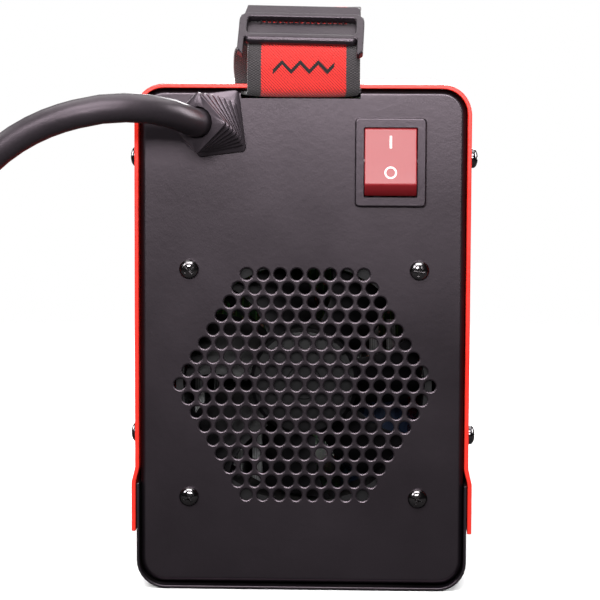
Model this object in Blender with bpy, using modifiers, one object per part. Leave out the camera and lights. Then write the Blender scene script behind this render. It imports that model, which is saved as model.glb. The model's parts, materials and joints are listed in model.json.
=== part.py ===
"""Stick welding inverter, built as an assembly of separate named pieces.

Frame: metres, +Z up, +Y towards the output panel, +X to the right seen from the rear.
The origin is the middle of the underside of the base tray, on the ground.
"""
import math

import bmesh
import bpy
from mathutils import Matrix, Vector

# ---------------------------------------------------------------- driving dimensions (metres)
BODY_LENGTH = 0.280
HALF_LENGTH = BODY_LENGTH / 2
GAP = 0.0003                       # clearance between touching pieces

COVER_TOP = 0.182
COVER_HALF = 0.060
COVER_SHEET = 0.0015
COVER_CORNER = 0.0105
FLARE_HALF = 0.0613                # the skirt that laps over the tray
FLARE_START, FLARE_END, SKIRT_BOTTOM = 0.0435, 0.0390, 0.0208

TRAY_HALF = 0.0595
TRAY_SHEET = 0.0010
TRAY_WALL_TOP = 0.0383
TRAY_CORNER = 0.0103

PANEL_HALF = 0.0582
PANEL_BOTTOM, PANEL_TOP = 0.0018, 0.1802
PANEL_SHEET = 0.0012
PANEL_RECESS = 0.0027
PANEL_DEPTH = 0.0205
PANEL_CORNER = 0.0087
PANEL_EDGE_RADIUS = 0.0020
PANEL_FACE = HALF_LENGTH - PANEL_RECESS        # distance of each panel's face from the middle

FAN_X, FAN_Z = 0.0006, 0.0746
FAN_SIZE, FAN_DEPTH = 0.092, 0.025
FAN_SCREW = 0.04125                # half of the 82.5 mm screw square
FAN_DUCT = 0.0436
FAN_HUB = 0.0195
FAN_BLADES = 7
HOLE_PITCH_X, HOLE_PITCH_Z, HOLE_RADIUS = 0.0060, 0.0050, 0.0022
GRILLE_X, GRILLE_Z = 0.0010, 0.0741
GRILLE_ROWS = 8                    # rows each side of the middle row of 16 holes

SWITCH_X, SWITCH_Z = 0.0313, 0.1544
BEZEL_WIDTH, BEZEL_HEIGHT, BEZEL_THICK = 0.0254, 0.0316, 0.0020
SWITCH_OPENING_W, SWITCH_OPENING_H = 0.0192, 0.0250
SWITCH_BODY_W, SWITCH_BODY_H, SWITCH_BODY_DEPTH = 0.0220, 0.0296, 0.0220
ROCKER_PIVOT_DEPTH = 0.0080        # pivot behind the bezel's outer face
ROCKER_RADIUS, ROCKER_FACE = 0.0141, 0.01005
ROCKER_TILT = math.radians(12)

BOOT_X, BOOT_Z = -0.0322, 0.1680
BOOT_TIP = Vector((-0.0360, -0.1610, 0.1688))   # middle of its outer face, where the cord comes out
BOOT_LEAN = math.radians(20)
BOOT_OUT = Vector((-math.sin(BOOT_LEAN), -math.cos(BOOT_LEAN), 0.0))
BOOT_RIBS, BOOT_RIB = 7, 0.0016
BOOT_WIDTH = 0.0150
BOOT_FIRST = Vector((-0.0297, -0.1408, 0.1666))    # middle of the first rib behind the flange
BOOT_FLANGE = Vector((-0.0303, -0.1376, 0.1680))
BOOT_FLANGE_W, BOOT_FLANGE_H = 0.0176, 0.0220
CORD_RADIUS = 0.0050
CORD_PITCH = 0.0104                # one cord diameter and a little, turn to turn
COIL_X, COIL_Y = -0.1900, -0.1290
COIL_MEAN = 0.0550                 # radius at the middle of the turns: 11 cord diameters across
COIL_LAYERS = 3
COIL_BASE = 0.0015                 # the tie passes under the turns
COIL_TOP = COIL_LAYERS * CORD_PITCH + COIL_BASE
TIE_THICK = 0.0009

STRAP_WIDTH, STRAP_THICK = 0.0399, 0.0015
STRAP_SLOT_Y, STRAP_SLOT_WIDTH = 0.1270, 0.0480
STRAP_X, STRAP_INNER_X = 0.0003, -0.0040
BUCKLE_ORIGIN = Vector((0.0, -0.1340, 0.2015))
BUCKLE_TILT = math.radians(45)
BUCKLE_WIDTH = 0.0455

SOCKET_X, SOCKET_Z, SOCKET_FLANGE = 0.0290, 0.0420, 0.0180
KNOB_Z, KNOB_RADIUS = 0.1340, 0.0165
SCREW_HEIGHTS = (0.1555, 0.0548)
SIDE_SCREW_Y = 0.1250
BOARD_Z, BOARD_THICK = 0.0220, 0.0016

# ---------------------------------------------------------------- scene and small helpers


def clear_scene():
    """Remove every object, so the model starts from nothing."""
    for obj in list(bpy.data.objects):
        bpy.data.objects.remove(obj, do_unlink=True)


clear_scene()
PARTS = bpy.data.collections.new("stick_welding_inverter")
CUTTERS = bpy.data.collections.new("cutters")
bpy.context.scene.collection.children.link(PARTS)
bpy.context.scene.collection.children.link(CUTTERS)
MATERIALS = {}


def material(name, color, roughness, metallic=0.0):
    """A plain Principled material, made once for each name."""
    if name not in MATERIALS:
        mat = bpy.data.materials.new(name)
        mat.use_nodes = True
        shader = mat.node_tree.nodes["Principled BSDF"]
        shader.inputs["Base Color"].default_value = (*color, 1.0)
        shader.inputs["Roughness"].default_value = roughness
        shader.inputs["Metallic"].default_value = metallic
        MATERIALS[name] = mat
    return MATERIALS[name]


RED_PAINT = material("red_paint", (0.78, 0.03, 0.02), 0.35)
BLACK_PAINT = material("black_paint", (0.035, 0.03, 0.035), 0.5)
BLACK_PLASTIC = material("black_plastic", (0.03, 0.028, 0.03), 0.45)
BLACK_RUBBER = material("black_rubber", (0.025, 0.023, 0.025), 0.6)
RED_PLASTIC = material("red_plastic", (0.70, 0.05, 0.05), 0.3)
GREY_PLASTIC = material("grey_plastic", (0.20, 0.20, 0.21), 0.5)
BLACK_STEEL = material("black_steel", (0.03, 0.03, 0.03), 0.35, 0.6)
BRIGHT_STEEL = material("bright_steel", (0.60, 0.60, 0.60), 0.3, 1.0)
BRASS = material("brass", (0.75, 0.55, 0.25), 0.3, 1.0)
COPPER = material("copper", (0.80, 0.40, 0.25), 0.35, 1.0)
ALUMINIUM = material("aluminium", (0.70, 0.70, 0.70), 0.4, 1.0)
BOARD_GREEN = material("board_green", (0.02, 0.16, 0.06), 0.5)
FERRITE = material("ferrite", (0.05, 0.05, 0.05), 0.7)
WEBBING = material("webbing", (0.55, 0.03, 0.03), 0.8)
LED_GREEN = material("led_green", (0.05, 0.6, 0.1), 0.2)
LED_AMBER = material("led_amber", (0.8, 0.4, 0.02), 0.2)

ROOT = bpy.data.objects.new("inverter", None)
PARTS.objects.link(ROOT)


def link_mesh(name, bm, mat, location=(0, 0, 0), rotation=(0, 0, 0), smooth=None, parent=ROOT):
    """Turn a bmesh into a named object under its parent."""
    mesh = bpy.data.meshes.new(name)
    bm.normal_update()
    bm.to_mesh(mesh)
    bm.free()
    if smooth is not None:
        mesh.shade_smooth()
        mesh.set_sharp_from_angle(angle=math.radians(smooth))
    obj = bpy.data.objects.new(name, mesh)
    obj.location = location
    obj.rotation_euler = rotation
    obj.parent = parent
    if mat is None:
        obj.hide_render = True
        obj.display_type = "WIRE"
        CUTTERS.objects.link(obj)
    else:
        mesh.materials.append(mat)
        PARTS.objects.link(obj)
    return obj


def add_box(bm, size, centre, bevel=0.0, segments=1):
    """Add a box, with its edges bevelled where a bevel is given."""
    made = bmesh.ops.create_cube(bm, size=1.0)
    verts = made["verts"]
    bmesh.ops.scale(bm, vec=size, verts=verts)
    bmesh.ops.translate(bm, vec=centre, verts=verts)
    if bevel:
        edges = list({edge for vert in verts for edge in vert.link_edges})
        bmesh.ops.bevel(bm, geom=edges, offset=bevel, segments=segments, profile=0.5,
                        affect="EDGES", material=-1)


def add_rod(bm, start, end, radius, sides, end_radius=None):
    """Add a capped cylinder or cone between two points."""
    start, end = Vector(start), Vector(end)
    axis = end - start
    turn = axis.to_track_quat("Z", "X").to_matrix().to_4x4()
    bmesh.ops.create_cone(bm, cap_ends=True, segments=sides, radius1=radius,
                          radius2=radius if end_radius is None else end_radius,
                          depth=axis.length, matrix=Matrix.Translation((start + end) / 2) @ turn)


def box(name, size, centre, mat, bevel=0.0, segments=1, parent=ROOT, origin=(0, 0, 0)):
    """A box piece whose object origin is at origin."""
    bm = bmesh.new()
    add_box(bm, size, Vector(centre) - Vector(origin), bevel, segments)
    return link_mesh(name, bm, mat, location=origin, parent=parent)


def rod(name, start, end, radius, sides, mat, parent=ROOT, origin=(0, 0, 0)):
    """A cylinder piece between two points."""
    bm = bmesh.new()
    add_rod(bm, Vector(start) - Vector(origin), Vector(end) - Vector(origin), radius, sides)
    return link_mesh(name, bm, mat, location=origin, smooth=40, parent=parent)


def plate(name, outline, thickness, mat, location=(0, 0, 0), rotation=(0, 0, 0), parent=ROOT):
    """A flat outline given in X and Y, made solid by extruding it both ways along Z."""
    curve = bpy.data.curves.new(name, "CURVE")
    curve.dimensions = "2D"
    curve.fill_mode = "BOTH"
    curve.extrude = thickness / 2
    spline = curve.splines.new("POLY")
    spline.points.add(len(outline) - 1)
    for point, (x, y) in zip(spline.points, outline):
        point.co = (x, y, 0.0, 1.0)
    spline.use_cyclic_u = True
    guide = bpy.data.objects.new(name + "_outline", curve)
    PARTS.objects.link(guide)
    mesh = bpy.data.meshes.new_from_object(guide.evaluated_get(bpy.context.evaluated_depsgraph_get()))
    bpy.data.objects.remove(guide, do_unlink=True)
    bm = bmesh.new()
    bm.from_mesh(mesh)
    bmesh.ops.remove_doubles(bm, verts=bm.verts, dist=1e-6)
    return link_mesh(name, bm, mat, location, rotation, smooth=30, parent=parent)


def turned(name, profile, steps, mat, location=(0, 0, 0), rotation=(0, 0, 0), parent=ROOT):
    """A turned piece: (radius, height) points from the top down its outer side, about local Z."""
    bm = bmesh.new()
    verts = [bm.verts.new((radius, 0.0, height)) for radius, height in profile]
    closed = profile[0][0] > 0.0
    pairs = list(zip(verts, verts[1:])) + ([(verts[-1], verts[0])] if closed else [])
    for pair in pairs:
        bm.edges.new(pair)
    obj = link_mesh(name, bm, mat, location, rotation, parent=parent)
    screw = obj.modifiers.new("turn", "SCREW")
    screw.steps = screw.render_steps = steps
    screw.use_merge_vertices = True
    screw.merge_threshold = 0.00001
    screw.use_smooth_shade = False
    return obj


def cut(obj, *tools):
    """Take each tool away from the piece."""
    for tool in tools:
        boolean = obj.modifiers.new("cut_" + tool.name, "BOOLEAN")
        boolean.operation = "DIFFERENCE"
        boolean.object = tool
    return obj


def join(obj, *tools):
    """Grow the piece by each tool."""
    for tool in tools:
        boolean = obj.modifiers.new("join_" + tool.name, "BOOLEAN")
        boolean.operation = "UNION"
        boolean.object = tool
    return obj


def fillet(corners, radii, steps=4):
    """Points of an open outline whose inner corners are rounded to the given radii."""
    points = [Vector(corners[0])]
    for before, corner, after, radius in zip(corners, corners[1:], corners[2:], radii):
        corner = Vector(corner)
        to_before = (Vector(before) - corner).normalized()
        to_after = (Vector(after) - corner).normalized()
        if radius <= 0.0:
            points.append(corner)
            continue
        half = to_before.angle(to_after) / 2
        centre = corner + (to_before + to_after).normalized() * (radius / math.sin(half))
        first = corner + to_before * (radius / math.tan(half)) - centre
        last = corner + to_after * (radius / math.tan(half)) - centre
        sweep = first.angle_signed(last)
        for step in range(steps + 1):
            points.append(centre + Matrix.Rotation(-sweep * step / steps, 2) @ first)
    points.append(Vector(corners[-1]))
    return points


def rounded_rectangle(width, height, radius, steps=4):
    """A closed outline of a rectangle with round corners, centred on zero."""
    points = []
    for quarter, (sx, sy) in enumerate(((1, 1), (-1, 1), (-1, -1), (1, -1))):
        for step in range(steps + 1):
            angle = math.radians(90) * (quarter + step / steps)
            points.append((sx * (width / 2 - radius) + radius * math.cos(angle),
                           sy * (height / 2 - radius) + radius * math.sin(angle)))
    return points


def smooth_path(points, spacing):
    """Points along a smooth curve through the given ones, about one spacing apart."""
    points = [Vector(point) for point in points]
    padded = [2 * points[0] - points[1], *points, 2 * points[-1] - points[-2]]
    path = []
    for p0, p1, p2, p3 in zip(padded, padded[1:], padded[2:], padded[3:]):
        count = max(1, round((p2 - p1).length / spacing))
        for step in range(count):
            t = step / count
            path.append(0.5 * (2 * p1 + (p2 - p0) * t + (2 * p0 - 5 * p1 + 4 * p2 - p3) * t * t
                               + (3 * p1 - p0 - 3 * p2 + p3) * t * t * t))
    path.append(points[-1])
    return path


def standing(rear):
    """Rotation that stands an X-Y outline up, facing the rear or the front."""
    return (math.radians(90), 0.0, 0.0 if rear else math.radians(180))


# ---------------------------------------------------------------- sheet-metal casing


def cover_outline():
    """Section of the top cover: outer skin there, inner skin back."""
    sheet = COVER_SHEET
    corner = COVER_CORNER
    outer = [(-FLARE_HALF, SKIRT_BOTTOM), (-FLARE_HALF, FLARE_END), (-COVER_HALF, FLARE_START),
             (-COVER_HALF, COVER_TOP), (COVER_HALF, COVER_TOP), (COVER_HALF, FLARE_START),
             (FLARE_HALF, FLARE_END), (FLARE_HALF, SKIRT_BOTTOM)]
    inner = [(math.copysign(abs(x) - sheet, x), min(z, COVER_TOP - sheet)) for x, z in outer]
    radii_out = (0.003, 0.003, corner, corner, 0.003, 0.003)
    radii_in = (0.003, 0.003, corner - sheet, corner - sheet, 0.003, 0.003)
    return fillet(outer, radii_out) + fillet(inner, radii_in)[::-1]


def tray_outline():
    """Section of the base tray: outer skin there, inner skin back."""
    outer = [(-TRAY_HALF, TRAY_WALL_TOP), (-TRAY_HALF, 0.0), (TRAY_HALF, 0.0),
             (TRAY_HALF, TRAY_WALL_TOP)]
    inner = [(math.copysign(TRAY_HALF - TRAY_SHEET, x), max(z, TRAY_SHEET)) for x, z in outer]
    return (fillet(outer, (TRAY_CORNER,) * 2)
            + fillet(inner, (TRAY_CORNER - TRAY_SHEET,) * 2)[::-1])


def slot_cutter(name, width, height, centre, along):
    """A cutter for a rectangular slot, deep along one axis."""
    deep = 0.012
    size = {"x": (deep, width, height), "y": (width, deep, height), "z": (width, height, deep)}
    return box(name, size[along], centre, None)


def hole_cutter(name, centre, radius, along, sides=8, deep=0.012):
    """A cutter for a round hole, deep along one axis."""
    reach = {"x": Vector((deep, 0, 0)), "y": Vector((0, deep, 0)), "z": Vector((0, 0, deep))}[along]
    return rod(name, Vector(centre) - reach, Vector(centre) + reach, radius, sides, None)


def side_screw_cutter():
    """Holes for the eight side screws, one set of rods through both walls."""
    bm = bmesh.new()
    for y in (-SIDE_SCREW_Y, SIDE_SCREW_Y):
        for z in SCREW_HEIGHTS:
            add_rod(bm, (-0.07, y, z), (0.07, y, z), 0.0024, 8)
    return link_mesh("side_screw_holes", bm, None)


def build_casing(side_holes):
    """Base tray and top cover, with their slots and louvres."""
    tray = plate("base_tray", tray_outline(), BODY_LENGTH, BLACK_PAINT, rotation=standing(True))
    floor_vents = bmesh.new()
    for index in range(7):
        add_box(floor_vents, (0.060, 0.004, 0.010), (0.0, 0.040 + 0.010 * index, 0.0))
    cut(tray, link_mesh("tray_vents", floor_vents, None))

    cover = plate("top_cover", cover_outline(), BODY_LENGTH, RED_PAINT, rotation=standing(True))
    strap_slots = bmesh.new()
    for side in (-1, 1):
        centre_x = (STRAP_X + STRAP_INNER_X) / 2 if side < 0 else STRAP_X
        add_box(strap_slots, (STRAP_SLOT_WIDTH, 0.004, 0.012),
                (centre_x, side * STRAP_SLOT_Y, COVER_TOP))
    louvres = bmesh.new()
    for index in range(9):
        add_box(louvres, (0.140, 0.0035, 0.034), (0.0, 0.036 + 0.0085 * index, 0.083))
    cut(cover, link_mesh("strap_slots", strap_slots, None),
        link_mesh("side_louvres", louvres, None), side_holes)


def panel_pan(name, side):
    """A panel with its edges bent in, open towards the inside of the machine."""
    bm = bmesh.new()
    height = PANEL_TOP - PANEL_BOTTOM
    add_box(bm, (2 * PANEL_HALF, PANEL_DEPTH, height), (0.0, -PANEL_DEPTH / 2, height / 2))
    upright = [edge for edge in bm.edges
               if abs(edge.verts[0].co.y - edge.verts[1].co.y) > PANEL_DEPTH / 2]
    bmesh.ops.bevel(bm, geom=upright, offset=PANEL_CORNER, segments=4, profile=0.5,
                    affect="EDGES", material=-1)
    rim = [edge for edge in bm.edges if all(vert.co.y > -1e-6 for vert in edge.verts)]
    bmesh.ops.bevel(bm, geom=rim, offset=PANEL_EDGE_RADIUS, segments=2, profile=0.5,
                    affect="EDGES", material=-1)
    back = [face for face in bm.faces
            if all(vert.co.y < -PANEL_DEPTH + 1e-6 for vert in face.verts)]
    bmesh.ops.delete(bm, geom=back, context="FACES")
    turn = 0.0 if side > 0 else math.pi
    bmesh.ops.rotate(bm, cent=(0, 0, 0), matrix=Matrix.Rotation(turn, 3, "Z"), verts=bm.verts)
    obj = link_mesh(name, bm, BLACK_PAINT, location=(0, side * PANEL_FACE, PANEL_BOTTOM), smooth=40)
    shell = obj.modifiers.new("sheet", "SOLIDIFY")
    shell.thickness = PANEL_SHEET
    shell.offset = -1.0
    return obj


def grille_cutter():
    """Two hundred holes in seventeen staggered rows, 16 in the middle row and 8 at each end."""
    bm = bmesh.new()
    y = -PANEL_FACE
    for row in range(-GRILLE_ROWS, GRILLE_ROWS + 1):
        count = 2 * GRILLE_ROWS - abs(row)
        z = GRILLE_Z + row * HOLE_PITCH_Z
        for column in range(count):
            x = GRILLE_X + (column - (count - 1) / 2) * HOLE_PITCH_X
            add_rod(bm, (x, y - 0.004, z), (x, y + 0.004, z), HOLE_RADIUS, 6)
    return link_mesh("grille_holes", bm, None)


def strap_notch(name, side):
    """A cutter that opens the top flange of a panel for the webbing."""
    centre_x = (STRAP_X + STRAP_INNER_X) / 2 if side < 0 else STRAP_X
    return box(name, (STRAP_SLOT_WIDTH, 0.030, 0.010), (centre_x, side * 0.1270, 0.1813), None)


def fan_corners():
    """The four screw places of the fan."""
    return [(FAN_X + sx * FAN_SCREW, FAN_Z + sz * FAN_SCREW) for sz in (1, -1) for sx in (-1, 1)]


def build_rear_panel(side_holes):
    """Rear panel: grille, fan screws, switch cut-out and cord hole."""
    panel = panel_pan("rear_panel", -1)
    holes = bmesh.new()
    for x, z in fan_corners():
        add_rod(holes, (x, -PANEL_FACE - 0.004, z), (x, -PANEL_FACE + 0.004, z), 0.0024, 8)
    switch = slot_cutter("switch_cutout", SWITCH_BODY_W + 0.0008, SWITCH_BODY_H + 0.0008,
                         (SWITCH_X, -PANEL_FACE, SWITCH_Z), "y")
    cord_hole = hole_cutter("cord_hole", (BOOT_X, -PANEL_FACE, BOOT_Z), 0.0075, "y", 16, 0.005)
    cut(panel, grille_cutter(), link_mesh("fan_screw_holes", holes, None), switch, cord_hole,
        strap_notch("rear_strap_notch", -1), side_holes)


def build_front_panel(side_holes):
    """Front panel: sockets, regulator, lamps and outlet slots."""
    panel = panel_pan("front_panel", 1)
    round_holes = bmesh.new()
    for x in (-SOCKET_X, SOCKET_X):
        add_rod(round_holes, (x, PANEL_FACE - 0.005, SOCKET_Z), (x, PANEL_FACE + 0.005, SOCKET_Z),
                0.0148, 24)
    add_rod(round_holes, (0, PANEL_FACE - 0.005, KNOB_Z), (0, PANEL_FACE + 0.005, KNOB_Z), 0.0050, 12)
    for x in LED_PLACES:
        add_rod(round_holes, (x, PANEL_FACE - 0.005, LED_Z), (x, PANEL_FACE + 0.005, LED_Z), 0.0028, 8)
    slots = bmesh.new()
    for index in range(6):
        add_box(slots, (0.080, 0.010, 0.0032), (0.0, PANEL_FACE, 0.0690 + 0.0062 * index))
    cut(panel, link_mesh("front_round_holes", round_holes, None),
        link_mesh("front_slots", slots, None), strap_notch("front_strap_notch", 1), side_holes)


# ---------------------------------------------------------------- screws


def screw(name, place, direction, head_radius, head_height, shank_radius, length):
    """A pan-head screw whose head stands on place, pointing along direction."""
    profile = [(0.0, head_height), (head_radius * 0.6, head_height * 0.92),
               (head_radius, head_height * 0.35), (head_radius, 0.0), (shank_radius, 0.0),
               (shank_radius, -length), (0.0, -length)]
    turn = Vector(direction).to_track_quat("Z", "Y").to_euler()
    return turned(name, profile, 10, BLACK_STEEL, place, turn)


def build_screws():
    """Four fan screws and eight side screws."""
    for index, (x, z) in enumerate(fan_corners(), start=1):
        screw(f"fan_screw_{index}", (x, -PANEL_FACE - GAP, z), (0, -1, 0),
              0.0035, 0.0024, 0.00195, 0.0120)
    for end, y in (("rear", -SIDE_SCREW_Y), ("front", SIDE_SCREW_Y)):
        for hand, sign in (("left", -1), ("right", 1)):
            for level, z in zip(("upper", "lower"), SCREW_HEIGHTS):
                screw(f"side_screw_{end}_{hand}_{level}", (sign * (COVER_HALF + GAP), y, z),
                      (sign, 0, 0), 0.0035, 0.0024, 0.00195, 0.0065)


# ---------------------------------------------------------------- cooling fan

FAN_REAR = -PANEL_FACE + PANEL_SHEET + GAP          # the fan's face against the rear panel
FAN_FRONT = FAN_REAR + FAN_DEPTH


def fan_blade(bm, angle):
    """One pitched blade, from inside the hub wall out to its tip, as a closed slab."""
    length = FAN_DUCT - 0.0014 - FAN_HUB + 0.0008
    made = bmesh.ops.create_cube(bm, size=1.0)
    verts = made["verts"]
    bmesh.ops.scale(bm, vec=(length, 0.0190, 0.0012), verts=verts)
    bmesh.ops.translate(bm, vec=(FAN_HUB - 0.0008 + length / 2, 0, 0), verts=verts)
    for vert in verts:
        reach = (vert.co.x - FAN_HUB) / length
        pitch = math.radians(48 - 14 * reach)
        vert.co = Matrix.Rotation(pitch, 3, "X") @ vert.co
    bmesh.ops.rotate(bm, cent=(0, 0, 0), matrix=Matrix.Rotation(angle, 3, "Z"), verts=verts)


def build_fan():
    """Fan frame with its struts, motor, impeller and shaft."""
    middle = (FAN_REAR + FAN_FRONT) / 2
    frame = box("fan_frame", (FAN_SIZE, FAN_DEPTH, FAN_SIZE), (FAN_X, middle, FAN_Z), BLACK_PLASTIC)
    duct = hole_cutter("fan_duct", (FAN_X, middle, FAN_Z), FAN_DUCT, "y", 32, FAN_DEPTH)
    bolts = bmesh.new()
    for x, z in fan_corners():
        add_rod(bolts, (x, FAN_REAR - 0.002, z), (x, FAN_FRONT + 0.002, z), 0.0023, 8)
    hub = hole_cutter("fan_motor_plate", (FAN_X, FAN_FRONT - 0.0016, FAN_Z), 0.0175, "y", 20, 0.0012)
    cut(frame, duct, link_mesh("fan_bolt_holes", bolts, None))
    join(frame, hub)
    for index in range(4):
        angle = math.radians(45 + 90 * index)
        tip = Vector((math.cos(angle), 0, math.sin(angle)))
        root = Vector((FAN_X, FAN_FRONT - 0.0018, FAN_Z))
        join(frame, rod(f"fan_strut_{index}", root + tip * 0.015, root + tip * (FAN_DUCT + 0.001),
                        0.0013, 6, None))

    turned("fan_motor", [(0.0150, 0.0120), (0.0150, 0.0), (0.0022, 0.0), (0.0022, 0.0120)], 16,
           BRIGHT_STEEL, (FAN_X, FAN_FRONT - 0.0034 - GAP, FAN_Z), (math.radians(90), 0, 0))

    axis = bpy.data.objects.new("fan_axis", None)
    axis.location = (FAN_X, FAN_REAR + 0.0030, FAN_Z)
    PARTS.objects.link(axis)
    axis.parent = ROOT
    impeller = turned("fan_impeller", [(0.0, 0.0), (FAN_HUB - 0.002, 0.0), (FAN_HUB, -0.002),
                                       (FAN_HUB, -0.0165), (0.0180, -0.0165), (0.0180, -0.0016),
                                       (0.0, -0.0016)], 28, BLACK_PLASTIC,
                      rotation=(math.radians(90), 0, 0), parent=axis)
    for index in range(FAN_BLADES):
        bm = bmesh.new()
        fan_blade(bm, 2 * math.pi * index / FAN_BLADES)
        blade = link_mesh(f"blade_{index}", bm, None, location=(0, 0.0088, 0),
                          rotation=(math.radians(90), 0, 0), parent=axis)
        join(impeller, blade)
    rod("fan_shaft", (FAN_X, FAN_REAR + 0.0030 + 0.0016 + GAP, FAN_Z),
        (FAN_X, FAN_FRONT - 0.0036, FAN_Z), 0.0015, 10, BRIGHT_STEEL, parent=ROOT)


# ---------------------------------------------------------------- mains switch

BEZEL_FACE = -PANEL_FACE - GAP - BEZEL_THICK
ROCKER_Y = BEZEL_FACE + ROCKER_PIVOT_DEPTH


def rocker_outline():
    """Side view of the rocker about its pivot: a flat face between two arcs, and a rounded foot."""
    face_angle = math.acos(ROCKER_FACE / ROCKER_RADIUS)
    end_angle = math.radians(70)
    right = []
    for step in range(4):
        angle = face_angle + (end_angle - face_angle) * step / 3
        right.append((ROCKER_RADIUS * math.sin(angle), ROCKER_RADIUS * math.cos(angle)))
    right += [(0.0124, 0.0012), (0.0080, -0.0020), (0.0030, -0.0042)]
    return right + [(-along, out) for along, out in reversed(right)]


def build_switch():
    """Switch housing, rocker, hinge pin and two terminals."""
    centre = Vector((SWITCH_X, BEZEL_FACE + BEZEL_THICK / 2, SWITCH_Z))
    housing = plate("switch_housing", rounded_rectangle(BEZEL_WIDTH, BEZEL_HEIGHT, 0.0015, 2),
                    BEZEL_THICK, BLACK_PLASTIC, centre, standing(True))
    body_y = BEZEL_FACE + BEZEL_THICK
    join(housing, box("switch_body", (SWITCH_BODY_W, SWITCH_BODY_DEPTH, SWITCH_BODY_H),
                      (SWITCH_X, body_y + SWITCH_BODY_DEPTH / 2 - 0.0005, SWITCH_Z), None))
    lip, floor_y = 0.0006, ROCKER_Y + 0.0062
    cut(housing,
        box("switch_opening", (SWITCH_OPENING_W, 0.010, SWITCH_OPENING_H),
            (SWITCH_X, BEZEL_FACE, SWITCH_Z), None),
        box("switch_pocket", (SWITCH_OPENING_W, floor_y - BEZEL_FACE - lip, 0.0287),
            (SWITCH_X, (floor_y + BEZEL_FACE + lip) / 2, SWITCH_Z), None),
        hole_cutter("rocker_pin_hole", (SWITCH_X, ROCKER_Y, SWITCH_Z), 0.0015, "x", 10, 0.0105))

    axis = bpy.data.objects.new("rocker_axis", None)
    axis.location = (SWITCH_X, ROCKER_Y, SWITCH_Z)
    PARTS.objects.link(axis)
    axis.parent = ROOT
    rest = Matrix.Rotation(-ROCKER_TILT, 2)
    outline = [tuple(rest @ Vector(point)) for point in rocker_outline()]
    rocker = plate("power_rocker", outline, SWITCH_OPENING_W - 2 * GAP, RED_PLASTIC,
                   rotation=Matrix(((0, 0, 1), (0, -1, 0), (1, 0, 0))).to_euler(), parent=axis)
    cut(rocker, hole_cutter("rocker_bore", (SWITCH_X, ROCKER_Y, SWITCH_Z), 0.0015, "x", 10, 0.020))
    rod("rocker_pin", (SWITCH_X - 0.0103, ROCKER_Y, SWITCH_Z), (SWITCH_X + 0.0103, ROCKER_Y, SWITCH_Z),
        0.0012, 8, BRIGHT_STEEL)
    back = body_y + SWITCH_BODY_DEPTH - 0.0005 + GAP
    for label, offset in (("live", 0.0070), ("neutral", -0.0070)):
        box(f"switch_terminal_{label}", (0.0063, 0.0085, 0.0008),
            (SWITCH_X, back + 0.00425, SWITCH_Z + offset), BRASS)


# ---------------------------------------------------------------- mains cord


def boot_section(bm, width, height, spin, centre, normal_turn):
    """Ring of eight corners of a rectangular section with cut corners."""
    verts = []
    chamfer = 0.0014
    for sx, sz, first_x in ((1, 1, False), (-1, 1, True), (-1, -1, False), (1, -1, True)):
        pair = [(sx * width / 2, sz * (height / 2 - chamfer)),
                (sx * (width / 2 - chamfer), sz * height / 2)]
        for x, z in (pair[::-1] if first_x else pair):
            spun = Matrix.Rotation(spin, 2) @ Vector((x, z))
            local = normal_turn @ Vector((spun.x, 0.0, spun.y))
            verts.append(bm.verts.new(centre + local))
    return verts


def build_boot():
    """Ribbed square strain relief on a flange, which turns and leans with the cord, and its lock ring."""
    base_y = BOOT_FLANGE.y
    bm = bmesh.new()
    flange_spin = math.radians(7.3)
    straight = Matrix.Identity(3)
    neck = BOOT_WIDTH * 0.72
    rings = [boot_section(bm, BOOT_FLANGE_W, BOOT_FLANGE_H, flange_spin, BOOT_FLANGE + Vector((0, -step, 0)),
                          straight) for step in (0.0, BOOT_RIB)]
    rings.append(boot_section(bm, neck, neck, flange_spin,
                              BOOT_FLANGE + Vector((0, -BOOT_RIB - 0.00005, 0)), straight))
    last = BOOT_TIP - BOOT_OUT * BOOT_RIB
    for index in range(BOOT_RIBS):
        share = index / (BOOT_RIBS - 1)
        spin = math.radians(12 + 30 * share)
        lean = Matrix.Rotation(-BOOT_LEAN * share, 3, "Z")
        out = lean @ Vector((0, -1, 0))
        start = BOOT_FIRST.lerp(last, share)
        start.z = BOOT_FIRST.z + (last.z - BOOT_FIRST.z) * share ** 0.7
        rings.append(boot_section(bm, neck, neck, spin, start - out * 0.00005, lean))
        rings.append(boot_section(bm, BOOT_WIDTH, BOOT_WIDTH, spin, start, lean))
        rings.append(boot_section(bm, BOOT_WIDTH, BOOT_WIDTH, spin, start + out * BOOT_RIB, lean))
        if index < BOOT_RIBS - 1:
            rings.append(boot_section(bm, neck, neck, spin, start + out * (BOOT_RIB + 0.00005), lean))
    for ring, following in zip(rings, rings[1:]):
        for corner in range(8):
            after = (corner + 1) % 8
            bm.faces.new((ring[corner], ring[after], following[after], following[corner]))
    bm.faces.new(rings[0])
    bm.faces.new(rings[-1])
    bmesh.ops.recalc_face_normals(bm, faces=bm.faces)
    boot = link_mesh("cord_boot", bm, BLACK_RUBBER, smooth=30)
    join(boot, rod("boot_neck", (BOOT_X, base_y - 0.0010, BOOT_Z), (BOOT_X, base_y + 0.0095, BOOT_Z),
                   0.0070, 16, None))
    inside = -PANEL_FACE + PANEL_SHEET + GAP
    turned("boot_lock_ring", [(0.0092, 0.0), (0.0092, -0.0045), (0.0073, -0.0045), (0.0073, 0.0)],
           16, GREY_PLASTIC, (BOOT_X, inside, BOOT_Z), (math.radians(90), 0, 0))


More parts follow.
